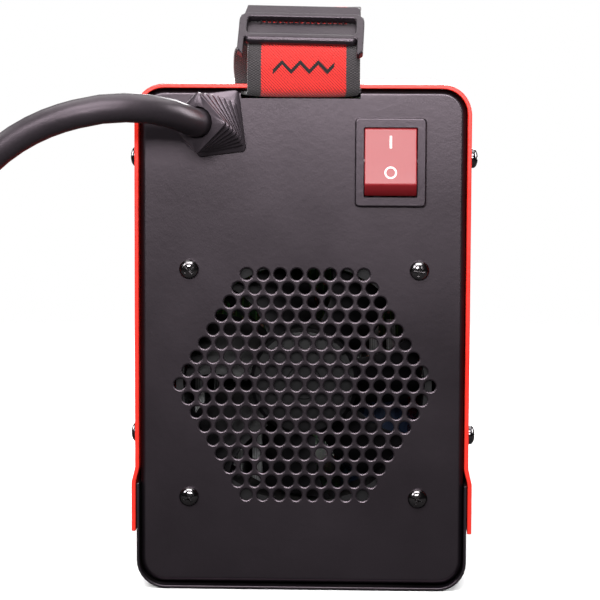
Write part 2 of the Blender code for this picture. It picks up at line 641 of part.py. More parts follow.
def cord_route():
    """Route of the cord's free run: out of the boot, away to the side and down onto the coil."""
    top = COIL_TOP + GAP + CORD_RADIUS
    return [tuple(BOOT_TIP + BOOT_OUT * 0.0004), tuple(BOOT_TIP + BOOT_OUT * 0.0030),
            (-0.0391, -0.1687, 0.1700), (-0.0442, -0.1752, 0.1722), (-0.0508, -0.1805, 0.1737),
            (-0.0584, -0.1844, 0.1742), (-0.0665, -0.1866, 0.1737), (-0.0750, -0.1872, 0.1720),
            (-0.0850, -0.1868, 0.1688), (-0.0955, -0.1859, 0.1634), (-0.1055, -0.1847, 0.1556),
            (-0.1145, -0.1833, 0.1452), (-0.1222, -0.1819, 0.1325), (-0.1285, -0.1805, 0.1180),
            (-0.1333, -0.1790, 0.1020), (-0.1366, -0.1765, 0.0850), (-0.1386, -0.1705, 0.0680),
            (-0.1397, -0.1600, 0.0535), (-0.1402, -0.1462, 0.0425),
            (-0.1402, -0.1290, top)]


def build_cord():
    """Free run of the cord as a tube, the stored coil as one ring, its tie and the mains plug."""
    path = smooth_path(cord_route(), 0.010)
    curve = bpy.data.curves.new("power_cord", "CURVE")
    curve.dimensions = "3D"
    curve.bevel_depth = CORD_RADIUS
    curve.bevel_resolution = 2
    curve.use_fill_caps = True
    spline = curve.splines.new("POLY")
    spline.points.add(len(path) - 1)
    for point, place in zip(spline.points, path):
        point.co = (*place, 1.0)
    curve.materials.append(BLACK_RUBBER)
    cord = bpy.data.objects.new("power_cord", curve)
    cord.parent = ROOT
    PARTS.objects.link(cord)

    inner, outer = COIL_MEAN - CORD_PITCH, COIL_MEAN + CORD_PITCH
    chamfer = 0.0025
    turned("cord_coil", [(inner + chamfer, COIL_TOP), (outer - chamfer, COIL_TOP),
                         (outer, COIL_TOP - chamfer), (outer, COIL_BASE + chamfer),
                         (outer - chamfer, COIL_BASE), (inner + chamfer, COIL_BASE),
                         (inner, COIL_BASE + chamfer), (inner, COIL_TOP - chamfer)],
           36, BLACK_RUBBER, (COIL_X, COIL_Y, 0))
    width, height = outer - inner + 0.0018, COIL_TOP - COIL_BASE + 2 * GAP
    place = (COIL_X - COIL_MEAN, COIL_Y, (COIL_TOP + COIL_BASE) / 2)
    tie = rounded_rectangle(width + 2 * TIE_THICK, height + 2 * TIE_THICK, 0.0030, 2)
    band = plate("cord_tie", tie, 0.0120, BLACK_RUBBER, place, standing(True))
    cut(band, plate("tie_opening", rounded_rectangle(width, height, 0.0021, 2), 0.0200, None, place,
                    standing(True)))


PLUG_ANGLE = math.radians(30)                      # where the cord leaves the coil
PLUG_HEADING = Vector((-math.sin(PLUG_ANGLE), math.cos(PLUG_ANGLE), 0.0))
PLUG_RADIUS, PLUG_LENGTH, PIN_LENGTH = 0.0185, 0.0420, 0.0190


def build_plug():
    """Round mains plug with two pins, on the ground beside the coil."""
    leave = Vector((COIL_X + (COIL_MEAN + CORD_PITCH / 2) * math.cos(PLUG_ANGLE),
                    COIL_Y + (COIL_MEAN + CORD_PITCH / 2) * math.sin(PLUG_ANGLE), 0.0))
    start = leave + PLUG_HEADING * 0.0400 + Vector((0, 0, PLUG_RADIUS + GAP))
    turn = PLUG_HEADING.to_track_quat("Z", "Y").to_euler()
    turned("plug_body", [(0.0, PLUG_LENGTH), (0.0175, PLUG_LENGTH), (PLUG_RADIUS, PLUG_LENGTH - 0.001),
                         (PLUG_RADIUS, 0.0160), (0.0120, 0.0060), (0.0070, 0.0), (0.0, 0.0)],
           20, BLACK_RUBBER, start, turn)
    sideways = Vector((PLUG_HEADING.y, -PLUG_HEADING.x, 0.0))
    for index, sign in enumerate((-1, 1), start=1):
        foot = start + PLUG_HEADING * (PLUG_LENGTH + GAP) + sideways * (sign * 0.0095)
        rod(f"plug_pin_{index}", foot, foot + PLUG_HEADING * PIN_LENGTH, 0.0024, 10, BRIGHT_STEEL)


# ---------------------------------------------------------------- carry strap


def buckle_point(along, out):
    """A point of the buckle's own plane: along the webbing and out from it, in Y and Z."""
    forward = Vector((0.0, math.sin(BUCKLE_TILT), math.cos(BUCKLE_TILT)))
    outward = Vector((0.0, -math.cos(BUCKLE_TILT), math.sin(BUCKLE_TILT)))
    return BUCKLE_ORIGIN + forward * along + outward * out


def strap_route():
    """Middle line of the webbing: rear loop, low hand arch, front loop sewn to its own underside."""
    x, inner_x = STRAP_X, STRAP_INNER_X
    inner_end = buckle_point(0.0030, -0.0020)
    inner_low = buckle_point(-0.0040, -0.0023)
    rear = [(x, inner_end.y, inner_end.z), (x, inner_low.y, inner_low.z),
            (-0.0012, -0.1338, 0.1942), (-0.0032, -0.1283, 0.1880), (inner_x, -0.1270, 0.1830),
            (inner_x, -0.1271, 0.1806), (inner_x, -0.1285, 0.1789), (-0.0032, -0.1320, 0.1783),
            (-0.0012, -0.1370, 0.1781), (0.0000, -0.1402, 0.1783), (x, -0.1419, 0.1797),
            (x, -0.1425, 0.1830), (x, -0.1428, 0.1880), (x, -0.1421, 0.1921)]
    for along in (-0.0085, -0.0040, 0.0010, 0.0060):
        point = buckle_point(along, 0.0)
        rear.append((x, point.y, point.z))
    arch = [(x, -0.1240, 0.2100), (x, -0.1120, 0.2110), (x, -0.0800, 0.2112), (x, -0.0400, 0.2113),
            (x, 0.0, 0.2113), (x, 0.0400, 0.2113), (x, 0.0800, 0.2111), (x, 0.1080, 0.2104)]
    front = [(x, 0.1200, 0.2075), (x, 0.1300, 0.2015), (x, 0.1376, 0.1945), (x, 0.1418, 0.1880),
             (x, 0.1426, 0.1830), (x, 0.1419, 0.1797), (x, 0.1402, 0.1783), (x, 0.1370, 0.1781),
             (x, 0.1320, 0.1783), (x, 0.1285, 0.1789), (x, 0.1271, 0.1806), (x, 0.1270, 0.1830),
             (x, 0.1275, 0.1880), (x, 0.1258, 0.1940), (x, 0.1205, 0.2000), (x, 0.1120, 0.2052),
             (x, 0.1010, 0.2079), (x, 0.0880, 0.2085)]
    return rear + arch + front


def build_strap():
    """The webbing as one band of even thickness along its route."""
    path = smooth_path(strap_route(), 0.004)
    bm = bmesh.new()
    row = [bm.verts.new(place - Vector((STRAP_WIDTH / 2, 0, 0))) for place in path]
    edges = [bm.edges.new(pair) for pair in zip(row, row[1:])]
    made = bmesh.ops.extrude_edge_only(bm, edges=edges)
    far = [item for item in made["geom"] if isinstance(item, bmesh.types.BMVert)]
    bmesh.ops.translate(bm, vec=(STRAP_WIDTH, 0, 0), verts=far)
    strap = link_mesh("carry_strap", bm, WEBBING, smooth=40)
    shell = strap.modifiers.new("webbing", "SOLIDIFY")
    shell.thickness = STRAP_THICK
    shell.offset = 0.0
    shell.use_even_offset = True


def buckle_bar(name, along, out, half_width, mat=None, bevel=0.0):
    """A bar of the buckle, given by its reach along and out of the webbing's plane."""
    centre = buckle_point(sum(along) / 2, sum(out) / 2)
    bm = bmesh.new()
    add_box(bm, (2 * half_width, out[1] - out[0], along[1] - along[0]), (0, 0, 0), bevel)
    return link_mesh(name, bm, mat, centre, (-BUCKLE_TILT, 0, 0))


def build_buckle():
    """Strap buckle: window frame, toothed plate behind the window, lifting tab and keeper bar."""
    front = (0.00105, 0.0036)
    buckle = buckle_bar("strap_buckle", (-0.0168, 0.0042), front, BUCKLE_WIDTH / 2, BLACK_PLASTIC,
                        0.0006)
    cut(buckle,
        buckle_bar("buckle_window", (-0.0063, 0.0022), (-0.004, 0.008), 0.0192),
        buckle_bar("buckle_mouth", (-0.0200, -0.0102), (-0.004, 0.008), 0.0202))
    join(buckle,
         buckle_bar("buckle_plate", (-0.0070, 0.0004), (0.0011, 0.0020), 0.0196),
         buckle_bar("buckle_tab", (0.0036, 0.0092), (0.0012, 0.0026), 0.0205))
    for index, sign in enumerate((-1, 1)):
        cheek = buckle_bar(f"buckle_cheek_{index}", (-0.0015, 0.0040), (-0.0058, 0.0030), 0.00095)
        cheek.location.x = sign * (BUCKLE_WIDTH / 2 - 0.00115)
        join(buckle, cheek)
    join(buckle, buckle_bar("buckle_keeper", (-0.0010, 0.0035), (-0.0056, -0.0036), 0.0218))


# ---------------------------------------------------------------- output end

LED_Z = 0.1620
LED_PLACES = (-0.0300, 0.0300)
FASCIA_Z, FASCIA_W, FASCIA_H, FASCIA_THICK = 0.1390, 0.1000, 0.0600, 0.0022
FASCIA_FRONT = PANEL_FACE + GAP + FASCIA_THICK


def build_regulator():
    """Printed fascia plate, current knob, potentiometer and its shaft."""
    fascia = plate("front_fascia", rounded_rectangle(FASCIA_W, FASCIA_H, 0.006), FASCIA_THICK,
                   GREY_PLASTIC, (0, PANEL_FACE + GAP + FASCIA_THICK / 2, FASCIA_Z), standing(False))
    cut(fascia, hole_cutter("fascia_shaft_hole", (0, FASCIA_FRONT, KNOB_Z), 0.0050, "y", 12))
    for index, x in enumerate(LED_PLACES):
        cut(fascia, hole_cutter(f"fascia_led_hole_{index}", (x, FASCIA_FRONT, LED_Z), 0.0028, "y", 8))

    axis = bpy.data.objects.new("knob_axis", None)
    axis.location = (0, FASCIA_FRONT + GAP, KNOB_Z)
    PARTS.objects.link(axis)
    axis.parent = ROOT
    knob = turned("current_knob", [(0.0, 0.0150), (0.0125, 0.0150), (0.0138, 0.0140), (0.0145, 0.0050),
                                   (KNOB_RADIUS, 0.0030), (KNOB_RADIUS, 0.0), (0.0, 0.0)], 24,
                  BLACK_PLASTIC, rotation=(math.radians(-90), 0, 0), parent=axis)
    cut(knob, hole_cutter("knob_bore", (0, FASCIA_FRONT, KNOB_Z), 0.0033, "y", 12, 0.0110))
    rod("regulator_shaft", (0, PANEL_FACE - 0.0060, KNOB_Z), (0, FASCIA_FRONT + 0.0100, KNOB_Z),
        0.0030, 10, BRIGHT_STEEL)
    inside = PANEL_FACE - PANEL_SHEET - GAP
    turned("regulator_body", [(0.0120, 0.0), (0.0120, -0.0100), (0.0034, -0.0100), (0.0034, 0.0)], 16,
           BRIGHT_STEEL, (0, inside, KNOB_Z), (math.radians(-90), 0, 0))
    for name, x, mat in (("power_lamp", LED_PLACES[0], LED_GREEN), ("heat_lamp", LED_PLACES[1], LED_AMBER)):
        turned(name, [(0.0, 0.0022), (0.0015, 0.0018), (0.0025, 0.0), (0.0025, -0.0070), (0.0, -0.0070)],
               10, mat, (x, FASCIA_FRONT, LED_Z), (math.radians(-90), 0, 0))


def build_sockets():
    """Two quick-connect output sockets, each an insulator with a brass contact, and busbars."""
    for label, x in (("negative", -SOCKET_X), ("positive", SOCKET_X)):
        turned(f"output_socket_{label}",
               [(0.0095, 0.0160), (0.0150, 0.0160), (0.0165, 0.0140), (0.0172, 0.0040),
                (SOCKET_FLANGE, 0.0032), (SOCKET_FLANGE, 0.0), (0.0145, 0.0), (0.0145, -0.0200),
                (0.0095, -0.0200)], 24, BLACK_PLASTIC,
               (x, PANEL_FACE + GAP, SOCKET_Z), (math.radians(-90), 0, 0))
        turned(f"socket_contact_{label}",
               [(0.0, -0.0160), (0.0066, -0.0160), (0.0066, 0.0120), (0.0092, 0.0120),
                (0.0092, -0.0215), (0.0, -0.0215)], 20, BRASS, (x, PANEL_FACE + GAP, SOCKET_Z), (math.radians(-90), 0, 0))
        rear_face = PANEL_FACE + GAP - 0.0215 - GAP
        box(f"busbar_{label}", (0.0150, 0.0020, 0.0300), (x, rear_face - 0.0010, SOCKET_Z - 0.0020),
            COPPER, 0.0004)


# ---------------------------------------------------------------- power electronics


def comb_outline(width, height, base, fins):
    """End view of a finned heatsink: a base with upright fins."""
    pitch = width / (fins - 0.5)
    points = [(-width / 2, 0.0), (width / 2, 0.0)]
    for index in range(fins):
        right = width / 2 - index * pitch
        left = right - pitch / 2
        points += [(right, height), (left, height)]
        if index < fins - 1:
            points += [(left, base), (left - pitch / 2, base)]
    return points


def build_electronics():
    """Boards, heatsinks, transformer, choke, capacitors and rectifier."""
    board_y, board_length, board_width = 0.0020, 0.2080, 0.1040
    box("main_board", (board_width, board_length, BOARD_THICK), (0, board_y, BOARD_Z), BOARD_GREEN)
    top = BOARD_Z + BOARD_THICK / 2 + GAP
    under = BOARD_Z - BOARD_THICK / 2 - GAP
    for index, (sx, sy) in enumerate(((-1, -1), (1, -1), (-1, 1), (1, 1)), start=1):
        x, y = sx * 0.0460, board_y + sy * 0.0980
        rod(f"board_standoff_{index}", (x, y, TRAY_SHEET + GAP), (x, y, under), 0.0030, 6, BRASS)
    for label, x, mid_y, length in (("inverter", -0.0290, -0.0430, 0.1050),
                                    ("output", 0.0290, 0.0480, 0.0750)):
        plate(f"heatsink_{label}", comb_outline(0.0400, 0.0520, 0.0070, 6), length, ALUMINIUM,
              (x, mid_y, top), standing(True))
    for index in range(2):
        y = -0.0760 + 0.0360 * index
        rod(f"bus_capacitor_{index + 1}", (0.0280, y, top), (0.0280, y, top + 0.0450), 0.0150, 16,
            BLACK_PLASTIC)
    box("bridge_rectifier", (0.0280, 0.0280, 0.0080), (0.0280, -0.0085, top + 0.0040), BLACK_PLASTIC,
        0.0008)

    core = box("transformer_core", (0.0440, 0.0200, 0.0460), (-0.0280, 0.0380, top + 0.0270), FERRITE)
    for sign in (-1, 1):
        cut(core, box(f"core_window_{sign + 1}", (0.0090, 0.0300, 0.0260),
                      (-0.0280 + sign * 0.0120, 0.0380, top + 0.0270), None))
    winding = box("transformer_winding", (0.0310, 0.0360, 0.0240), (-0.0280, 0.0380, top + 0.0270),
                  COPPER, 0.0030)
    cut(winding, box("winding_opening", (0.0156, 0.0206, 0.0500),
                     (-0.0280, 0.0380, top + 0.0270), None))
    ring = [(0.0150 + 0.0070 * math.cos(angle), 0.0070 * math.sin(angle))
            for angle in (math.radians(90 - 45 * step) for step in range(8))]
    turned("output_choke", ring, 20, COPPER, (-0.0280, 0.0800, top + 0.0074))


# ---------------------------------------------------------------- assembly

SIDE_HOLES = side_screw_cutter()
build_casing(SIDE_HOLES)
build_rear_panel(SIDE_HOLES)
build_front_panel(SIDE_HOLES)
build_screws()
build_fan()
build_switch()
build_boot()
build_cord()
build_plug()
build_strap()
build_buckle()
build_regulator()
build_sockets()
build_electronics()
bpy.context.view_layer.update()
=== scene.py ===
"""Looks of a compact stick welding inverter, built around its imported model.

Every piece is in metres in the model's own frame: +Z up, +Y from the rear panel towards the
output sockets, +X to the right seen from the rear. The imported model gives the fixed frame, and
the classes below make the fine surfaces, cloth, cord and finishes around it.
"""
from __future__ import annotations

import json
import logging
import math
from dataclasses import dataclass, field
from enum import Enum
from typing import Iterable, Sequence

import bmesh
import bpy
from mathutils import Matrix, Vector

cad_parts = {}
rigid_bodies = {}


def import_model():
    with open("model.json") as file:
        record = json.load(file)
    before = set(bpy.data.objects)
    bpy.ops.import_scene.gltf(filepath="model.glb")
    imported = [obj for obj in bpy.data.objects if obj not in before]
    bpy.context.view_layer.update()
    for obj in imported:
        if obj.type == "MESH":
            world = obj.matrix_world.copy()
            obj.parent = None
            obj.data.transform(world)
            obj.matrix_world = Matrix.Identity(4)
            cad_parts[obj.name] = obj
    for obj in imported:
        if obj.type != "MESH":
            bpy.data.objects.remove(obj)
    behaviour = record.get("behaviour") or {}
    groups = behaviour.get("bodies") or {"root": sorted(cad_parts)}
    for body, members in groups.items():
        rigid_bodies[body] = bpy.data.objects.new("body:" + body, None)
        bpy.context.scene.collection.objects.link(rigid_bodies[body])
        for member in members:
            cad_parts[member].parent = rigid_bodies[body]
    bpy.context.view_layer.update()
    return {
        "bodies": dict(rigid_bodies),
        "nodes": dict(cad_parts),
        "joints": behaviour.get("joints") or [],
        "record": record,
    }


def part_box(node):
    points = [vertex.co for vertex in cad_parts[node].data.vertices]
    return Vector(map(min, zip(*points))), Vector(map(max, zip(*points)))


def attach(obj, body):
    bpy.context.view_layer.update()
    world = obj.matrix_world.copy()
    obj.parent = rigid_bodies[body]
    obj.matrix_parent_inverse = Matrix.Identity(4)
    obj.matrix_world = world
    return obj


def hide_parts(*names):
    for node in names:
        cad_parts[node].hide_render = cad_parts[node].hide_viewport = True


LOG = logging.getLogger("inverter")

Point = Sequence[float]
Color = tuple[float, float, float]

REARWARD = Matrix.Rotation(math.radians(90), 4, "X")      # local +Z turned to world -Y
FORWARD = Matrix.Rotation(math.radians(-90), 4, "X")      # local +Z turned to world +Y
TAU = 2 * math.pi
PLUM: Color = (1.0, 0.82, 0.94)                           # the faint purple of a black gloss

FAN_X, FAN_Z = 0.0006, 0.0746              # the fan's axis
SWITCH_X, SWITCH_Z = 0.0313, 0.1544        # the switch's middle
KNOB_Z = 0.134                             # the current knob's axis
LAMP_X, LAMP_Z = 0.030, 0.162              # the lamps, one on each side
SOCKET_X, SOCKET_Z = 0.029, 0.042          # the output sockets, one on each side
SIDE_SCREW_Y = 0.125                       # the side screws, near both ends
SIDE_SCREW_HEIGHTS = (0.1555, 0.0548)
SCREW_HOLE = 0.0024                        # radius of the holes that the screws pass through


def fixed(x: float, y: float, z: float) -> Vector:
    """Default value of a dataclass field that holds a point or a direction."""
    return field(default_factory=lambda: Vector((x, y, z)))


# ---------------------------------------------------------------------- outlines and paths


def fillet(corners: Sequence[Point], radii: Sequence[float], steps: int = 8) -> list[Vector]:
    """Round the inner corners of an open outline.

    Args:
        corners: The outline's corners in order.
        radii: One radius for each inner corner.
        steps: Number of straight pieces in each arc.

    Returns:
        The outline's points, with each corner replaced by an arc.
    """
    points = [Vector(corners[0])]
    for before, corner, after, radius in zip(corners, corners[1:], corners[2:], radii):
        corner = Vector(corner)
        to_before = (Vector(before) - corner).normalized()
        to_after = (Vector(after) - corner).normalized()
        half = to_before.angle(to_after) / 2
        centre = corner + (to_before + to_after).normalized() * (radius / math.sin(half))
        first = corner + to_before * (radius / math.tan(half)) - centre
        sweep = first.angle_signed(corner + to_after * (radius / math.tan(half)) - centre)
        points += [centre + Matrix.Rotation(-sweep * step / steps, 2) @ first
                   for step in range(steps + 1)]
    return points + [Vector(corners[-1])]


def rounded_rectangle(width: float, height: float, radius: float, steps: int = 6) -> list[Vector]:
    """Closed outline of a rectangle with round corners, anticlockwise about zero."""
    points = []
    for quarter, (side_x, side_y) in enumerate(((1, 1), (-1, 1), (-1, -1), (1, -1))):
        for step in range(steps + 1):
            angle = math.radians(90) * (quarter + step / steps)
            points.append(Vector((side_x * (width / 2 - radius) + radius * math.cos(angle),
                                  side_y * (height / 2 - radius) + radius * math.sin(angle))))
    return points


def cross_outline(reach: float, arm: float) -> list[Vector]:
    """Closed outline of a plus sign whose arms reach this far and are twice `arm` wide."""
    corner = [(reach, arm), (arm, arm), (arm, reach)]
    quarters = [Matrix.Rotation(math.radians(90) * quarter, 2) for quarter in range(4)]
    return [turn @ Vector(point) for turn in quarters for point in corner]


def smooth_path(points: Sequence[Point], spacing: float) -> list[Vector]:
    """Read points from a smooth curve through the given ones.

    Args:
        points: The route's own points.
        spacing: Distance between the points returned, roughly.

    Returns:
        Points on the curve, starting and ending at the route's ends.
    """
    knots = [Vector(point) for point in points]
    padded = [2 * knots[0] - knots[1], *knots, 2 * knots[-1] - knots[-2]]
    path = []
    for p0, p1, p2, p3 in zip(padded, padded[1:], padded[2:], padded[3:]):
        count = max(1, round((p2 - p1).length / spacing))
        for step in range(count):
            t = step / count
            path.append(0.5 * (2 * p1 + (p2 - p0) * t + (2 * p0 - 5 * p1 + 4 * p2 - p3) * t * t
                               + (3 * p1 - p0 - 3 * p2 + p3) * t * t * t))
    return path + [knots[-1]]


def path_length(path: Sequence[Vector]) -> float:
    """Length along a path's points."""
    return sum((after - before).length for before, after in zip(path, path[1:]))


def ease(share: float) -> float:
    """Smooth step from 0 to 1."""
    share = min(1.0, max(0.0, share))
    return share * share * (3 - 2 * share)


# ---------------------------------------------------------------------- workpieces


def hang(name: str, data: bpy.types.ID) -> bpy.types.Object:
    """Put a mesh, curve, lamp or camera into the scene as an object."""
    obj = bpy.data.objects.new(name, data)
    bpy.context.scene.collection.objects.link(obj)
    return obj


def final_mesh(obj: bpy.types.Object) -> bpy.types.Mesh:
    """The mesh that an object shows, with its modifiers applied."""
    return bpy.data.meshes.new_from_object(
        obj.evaluated_get(bpy.context.evaluated_depsgraph_get()))


class Workpiece:
    """A mesh under construction, with the shaping steps that the pieces share."""

    def __init__(self) -> None:
        """Start an empty workpiece."""
        self.bm = bmesh.new()

    def round_edges(self, edges: Sequence[bmesh.types.BMEdge], radius: float,
                    segments: int) -> list:
        """Round the given edges and return the new vertices."""
        return bmesh.ops.bevel(self.bm, geom=edges, offset=radius, segments=segments,
                               profile=0.5, affect="EDGES", material=-1)["verts"]

    def move(self, place: Matrix, verts: Sequence[bmesh.types.BMVert] | None = None) -> None:
        """Move the given vertices, or all that has been made so far."""
        bmesh.ops.transform(self.bm, matrix=place, verts=verts or self.bm.verts)

    def block(self, size: Point, centre: Point, bevel: float = 0.0, segments: int = 2,
              turn: Matrix | None = None) -> None:
        """Add a box with its edges rounded.

        Args:
            size: Its three side lengths.
            centre: Its middle.
            bevel: Radius of its edges.
            segments: Steps in each rounded edge.
            turn: A rotation about its own middle.
        """
        verts = bmesh.ops.create_cube(self.bm, size=1.0)["verts"]
        bmesh.ops.scale(self.bm, vec=size, verts=verts)
        if bevel:
            edges = list({edge for vert in verts for edge in vert.link_edges})
            verts = self.round_edges(edges, bevel, segments)
        self.move(Matrix.Translation(Vector(centre)) @ (turn or Matrix.Identity(4)), verts)

    def rod(self, start: Point, end: Point, radius: float, sides: int = 24,
            end_radius: float | None = None) -> None:
        """Add a capped cylinder or cone between two points."""
        start, end = Vector(start), Vector(end)
        axis = end - start
        place = (Matrix.Translation((start + end) / 2)
                 @ axis.to_track_quat("Z", "X").to_matrix().to_4x4())
        bmesh.ops.create_cone(self.bm, cap_ends=True, segments=sides, radius1=radius,
                              radius2=radius if end_radius is None else end_radius,
                              depth=axis.length, matrix=place)

    def lathe(self, profile: Sequence[Point], place: Matrix, steps: int = 48) -> None:
        """Turn a profile of (radius, height) points about local Z.

        Args:
            profile: The section, closed on itself or ending on the axis.
            place: Where the turned shape goes.
            steps: Number of steps round.
        """
        old = set(self.bm.verts)
        verts = [self.bm.verts.new((radius, 0.0, height)) for radius, height in profile]
        pairs = list(zip(verts, verts[1:]))
        if profile[0][0] > 0.0:
            pairs.append((verts[-1], verts[0]))
        edges = [self.bm.edges.new(pair) for pair in pairs]
        bmesh.ops.spin(self.bm, geom=verts + edges, cent=(0, 0, 0), axis=(0, 0, 1), dvec=(0, 0, 0),
                       angle=TAU, steps=steps, use_merge=True, use_duplicate=False)
        fresh = [vert for vert in self.bm.verts if vert not in old]
        bmesh.ops.remove_doubles(self.bm, verts=fresh, dist=1e-6)
        fresh = [vert for vert in self.bm.verts if vert not in old]
        faces = list({face for vert in fresh for face in vert.link_faces})
        bmesh.ops.recalc_face_normals(self.bm, faces=faces)
        self.move(place, fresh)

    def prism(self, outline: Sequence[Point], depth: float, place: Matrix) -> None:
        """Extrude a closed outline in X and Y by depth along local Z, centred on it."""
        verts = [self.bm.verts.new((point[0], point[1], -depth / 2)) for point in outline]
        face = self.bm.faces.new(verts)
        made = bmesh.ops.extrude_face_region(self.bm, geom=[face])
        top = [item for item in made["geom"] if isinstance(item, bmesh.types.BMVert)]
        bmesh.ops.translate(self.bm, vec=(0, 0, depth), verts=top)
        faces = list({item for vert in verts + top for item in vert.link_faces})
        bmesh.ops.recalc_face_normals(self.bm, faces=faces)
        self.move(place, verts + top)

    def loft(self, rings: Sequence[Sequence[Vector]]) -> None:
        """Bridge rings of equally many points one to the next, and close both ends."""
        loops, ends = [], []
        for ring in rings:
            verts = [self.bm.verts.new(point) for point in ring]
            loops.append([self.bm.edges.new((one, two))
                          for one, two in zip(verts, verts[1:] + verts[:1])])
            ends.append(verts)
        for loop, following in zip(loops, loops[1:]):
            bmesh.ops.bridge_loops(self.bm, edges=loop + following)
        self.bm.faces.new(ends[0])
        self.bm.faces.new(ends[-1])
        bmesh.ops.recalc_face_normals(self.bm, faces=self.bm.faces)

    def stamp(self, template: bpy.types.Mesh, places: Iterable[Matrix]) -> None:
        """Add one copy of a template mesh at each place."""
        for place in places:
            known = len(self.bm.verts)
            self.bm.from_mesh(template)
            self.bm.verts.ensure_lookup_table()
            self.move(place, self.bm.verts[known:])

    def mesh(self, name: str) -> bpy.types.Mesh:
        """Write the workpiece to a mesh and close it."""
        mesh = bpy.data.meshes.new(name)
        self.bm.normal_update()
        self.bm.to_mesh(mesh)
        self.bm.free()
        return mesh

    def object(self, name: str, smooth: float = 35.0) -> bpy.types.Object:
        """Turn the workpiece into an object at the origin, smooth up to an angle in degrees."""
        mesh = self.mesh(name)
        mesh.shade_smooth()
        mesh.set_sharp_from_angle(angle=math.radians(smooth))
        return hang(name, mesh)


def freeze(obj: bpy.types.Object) -> bpy.types.Object:
    """Apply an object's modifiers, so that its mesh is final."""
    mesh = final_mesh(obj)
    obj.modifiers.clear()
    obj.data = mesh
    return obj


class Cut(Enum):
    """How a tool changes a workpiece."""

    AWAY = "DIFFERENCE"
    ONTO = "UNION"


def combine(obj: bpy.types.Object, tools: Sequence[Workpiece], cut: Cut = Cut.AWAY,
            smooth: float = 35.0) -> None:
    """Take tools away from an object, or join them on, and apply the result.

    Args:
        obj: The object that is changed.
        tools: Workpieces that are used up.
        cut: Whether the tools are taken away or joined.
        smooth: Edges sharper than this angle in degrees stay sharp.
    """
    helpers = []
    for index, tool in enumerate(tools):
        helper = tool.object(f"tool_{index}")
        helpers.append(helper)
        boolean = obj.modifiers.new("combine", "BOOLEAN")
        boolean.operation = cut.value
        boolean.object = helper
    freeze(obj)
    for helper in helpers:
        bpy.data.objects.remove(helper, do_unlink=True)
    obj.data.set_sharp_from_angle(angle=math.radians(smooth))


def round_over(obj: bpy.types.Object, name: str, width: float, segments: int,
               angle: float) -> bpy.types.Modifier:
    """Round an object's edges that are sharper than an angle in degrees."""
    bevel = obj.modifiers.new(name, "BEVEL")
    bevel.width, bevel.segments = width, segments
    bevel.limit_method = "ANGLE"
    bevel.angle_limit = math.radians(angle)
    return bevel


def flatten(obj: bpy.types.Object) -> None:
    """Keep an object's flat faces flat beside its rounded edges."""
    obj.modifiers.new("flat_faces", "WEIGHTED_NORMAL").keep_sharp = True


def soften(obj: bpy.types.Object, width: float, segments: int = 2, angle: float = 40.0) -> None:
    """Round an object's sharp edges a little and keep its flat faces flat."""
    round_over(obj, "soft_edges", width, segments, angle).miter_outer = "MITER_ARC"
    flatten(obj)


def settle(obj: bpy.types.Object, material: bpy.types.Material,
           replaces: Sequence[str] = (), body: str = "root") -> bpy.types.Object:
    """Give a finished piece its material, its body and the CAD nodes it stands for.

    Args:
        obj: The finished piece.
        material: Its material.
        replaces: CAD nodes that it stands for.
        body: The CAD body it moves with.

    Returns:
        The piece.
    """
    obj.data.materials.clear()
    obj.data.materials.append(material)
    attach(obj, body)
    if replaces:
        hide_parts(*replaces)
    LOG.info("piece %s rides on %s and replaces %s", obj.name, body, ", ".join(replaces) or "none")
    return obj


# ---------------------------------------------------------------------- shader node groups


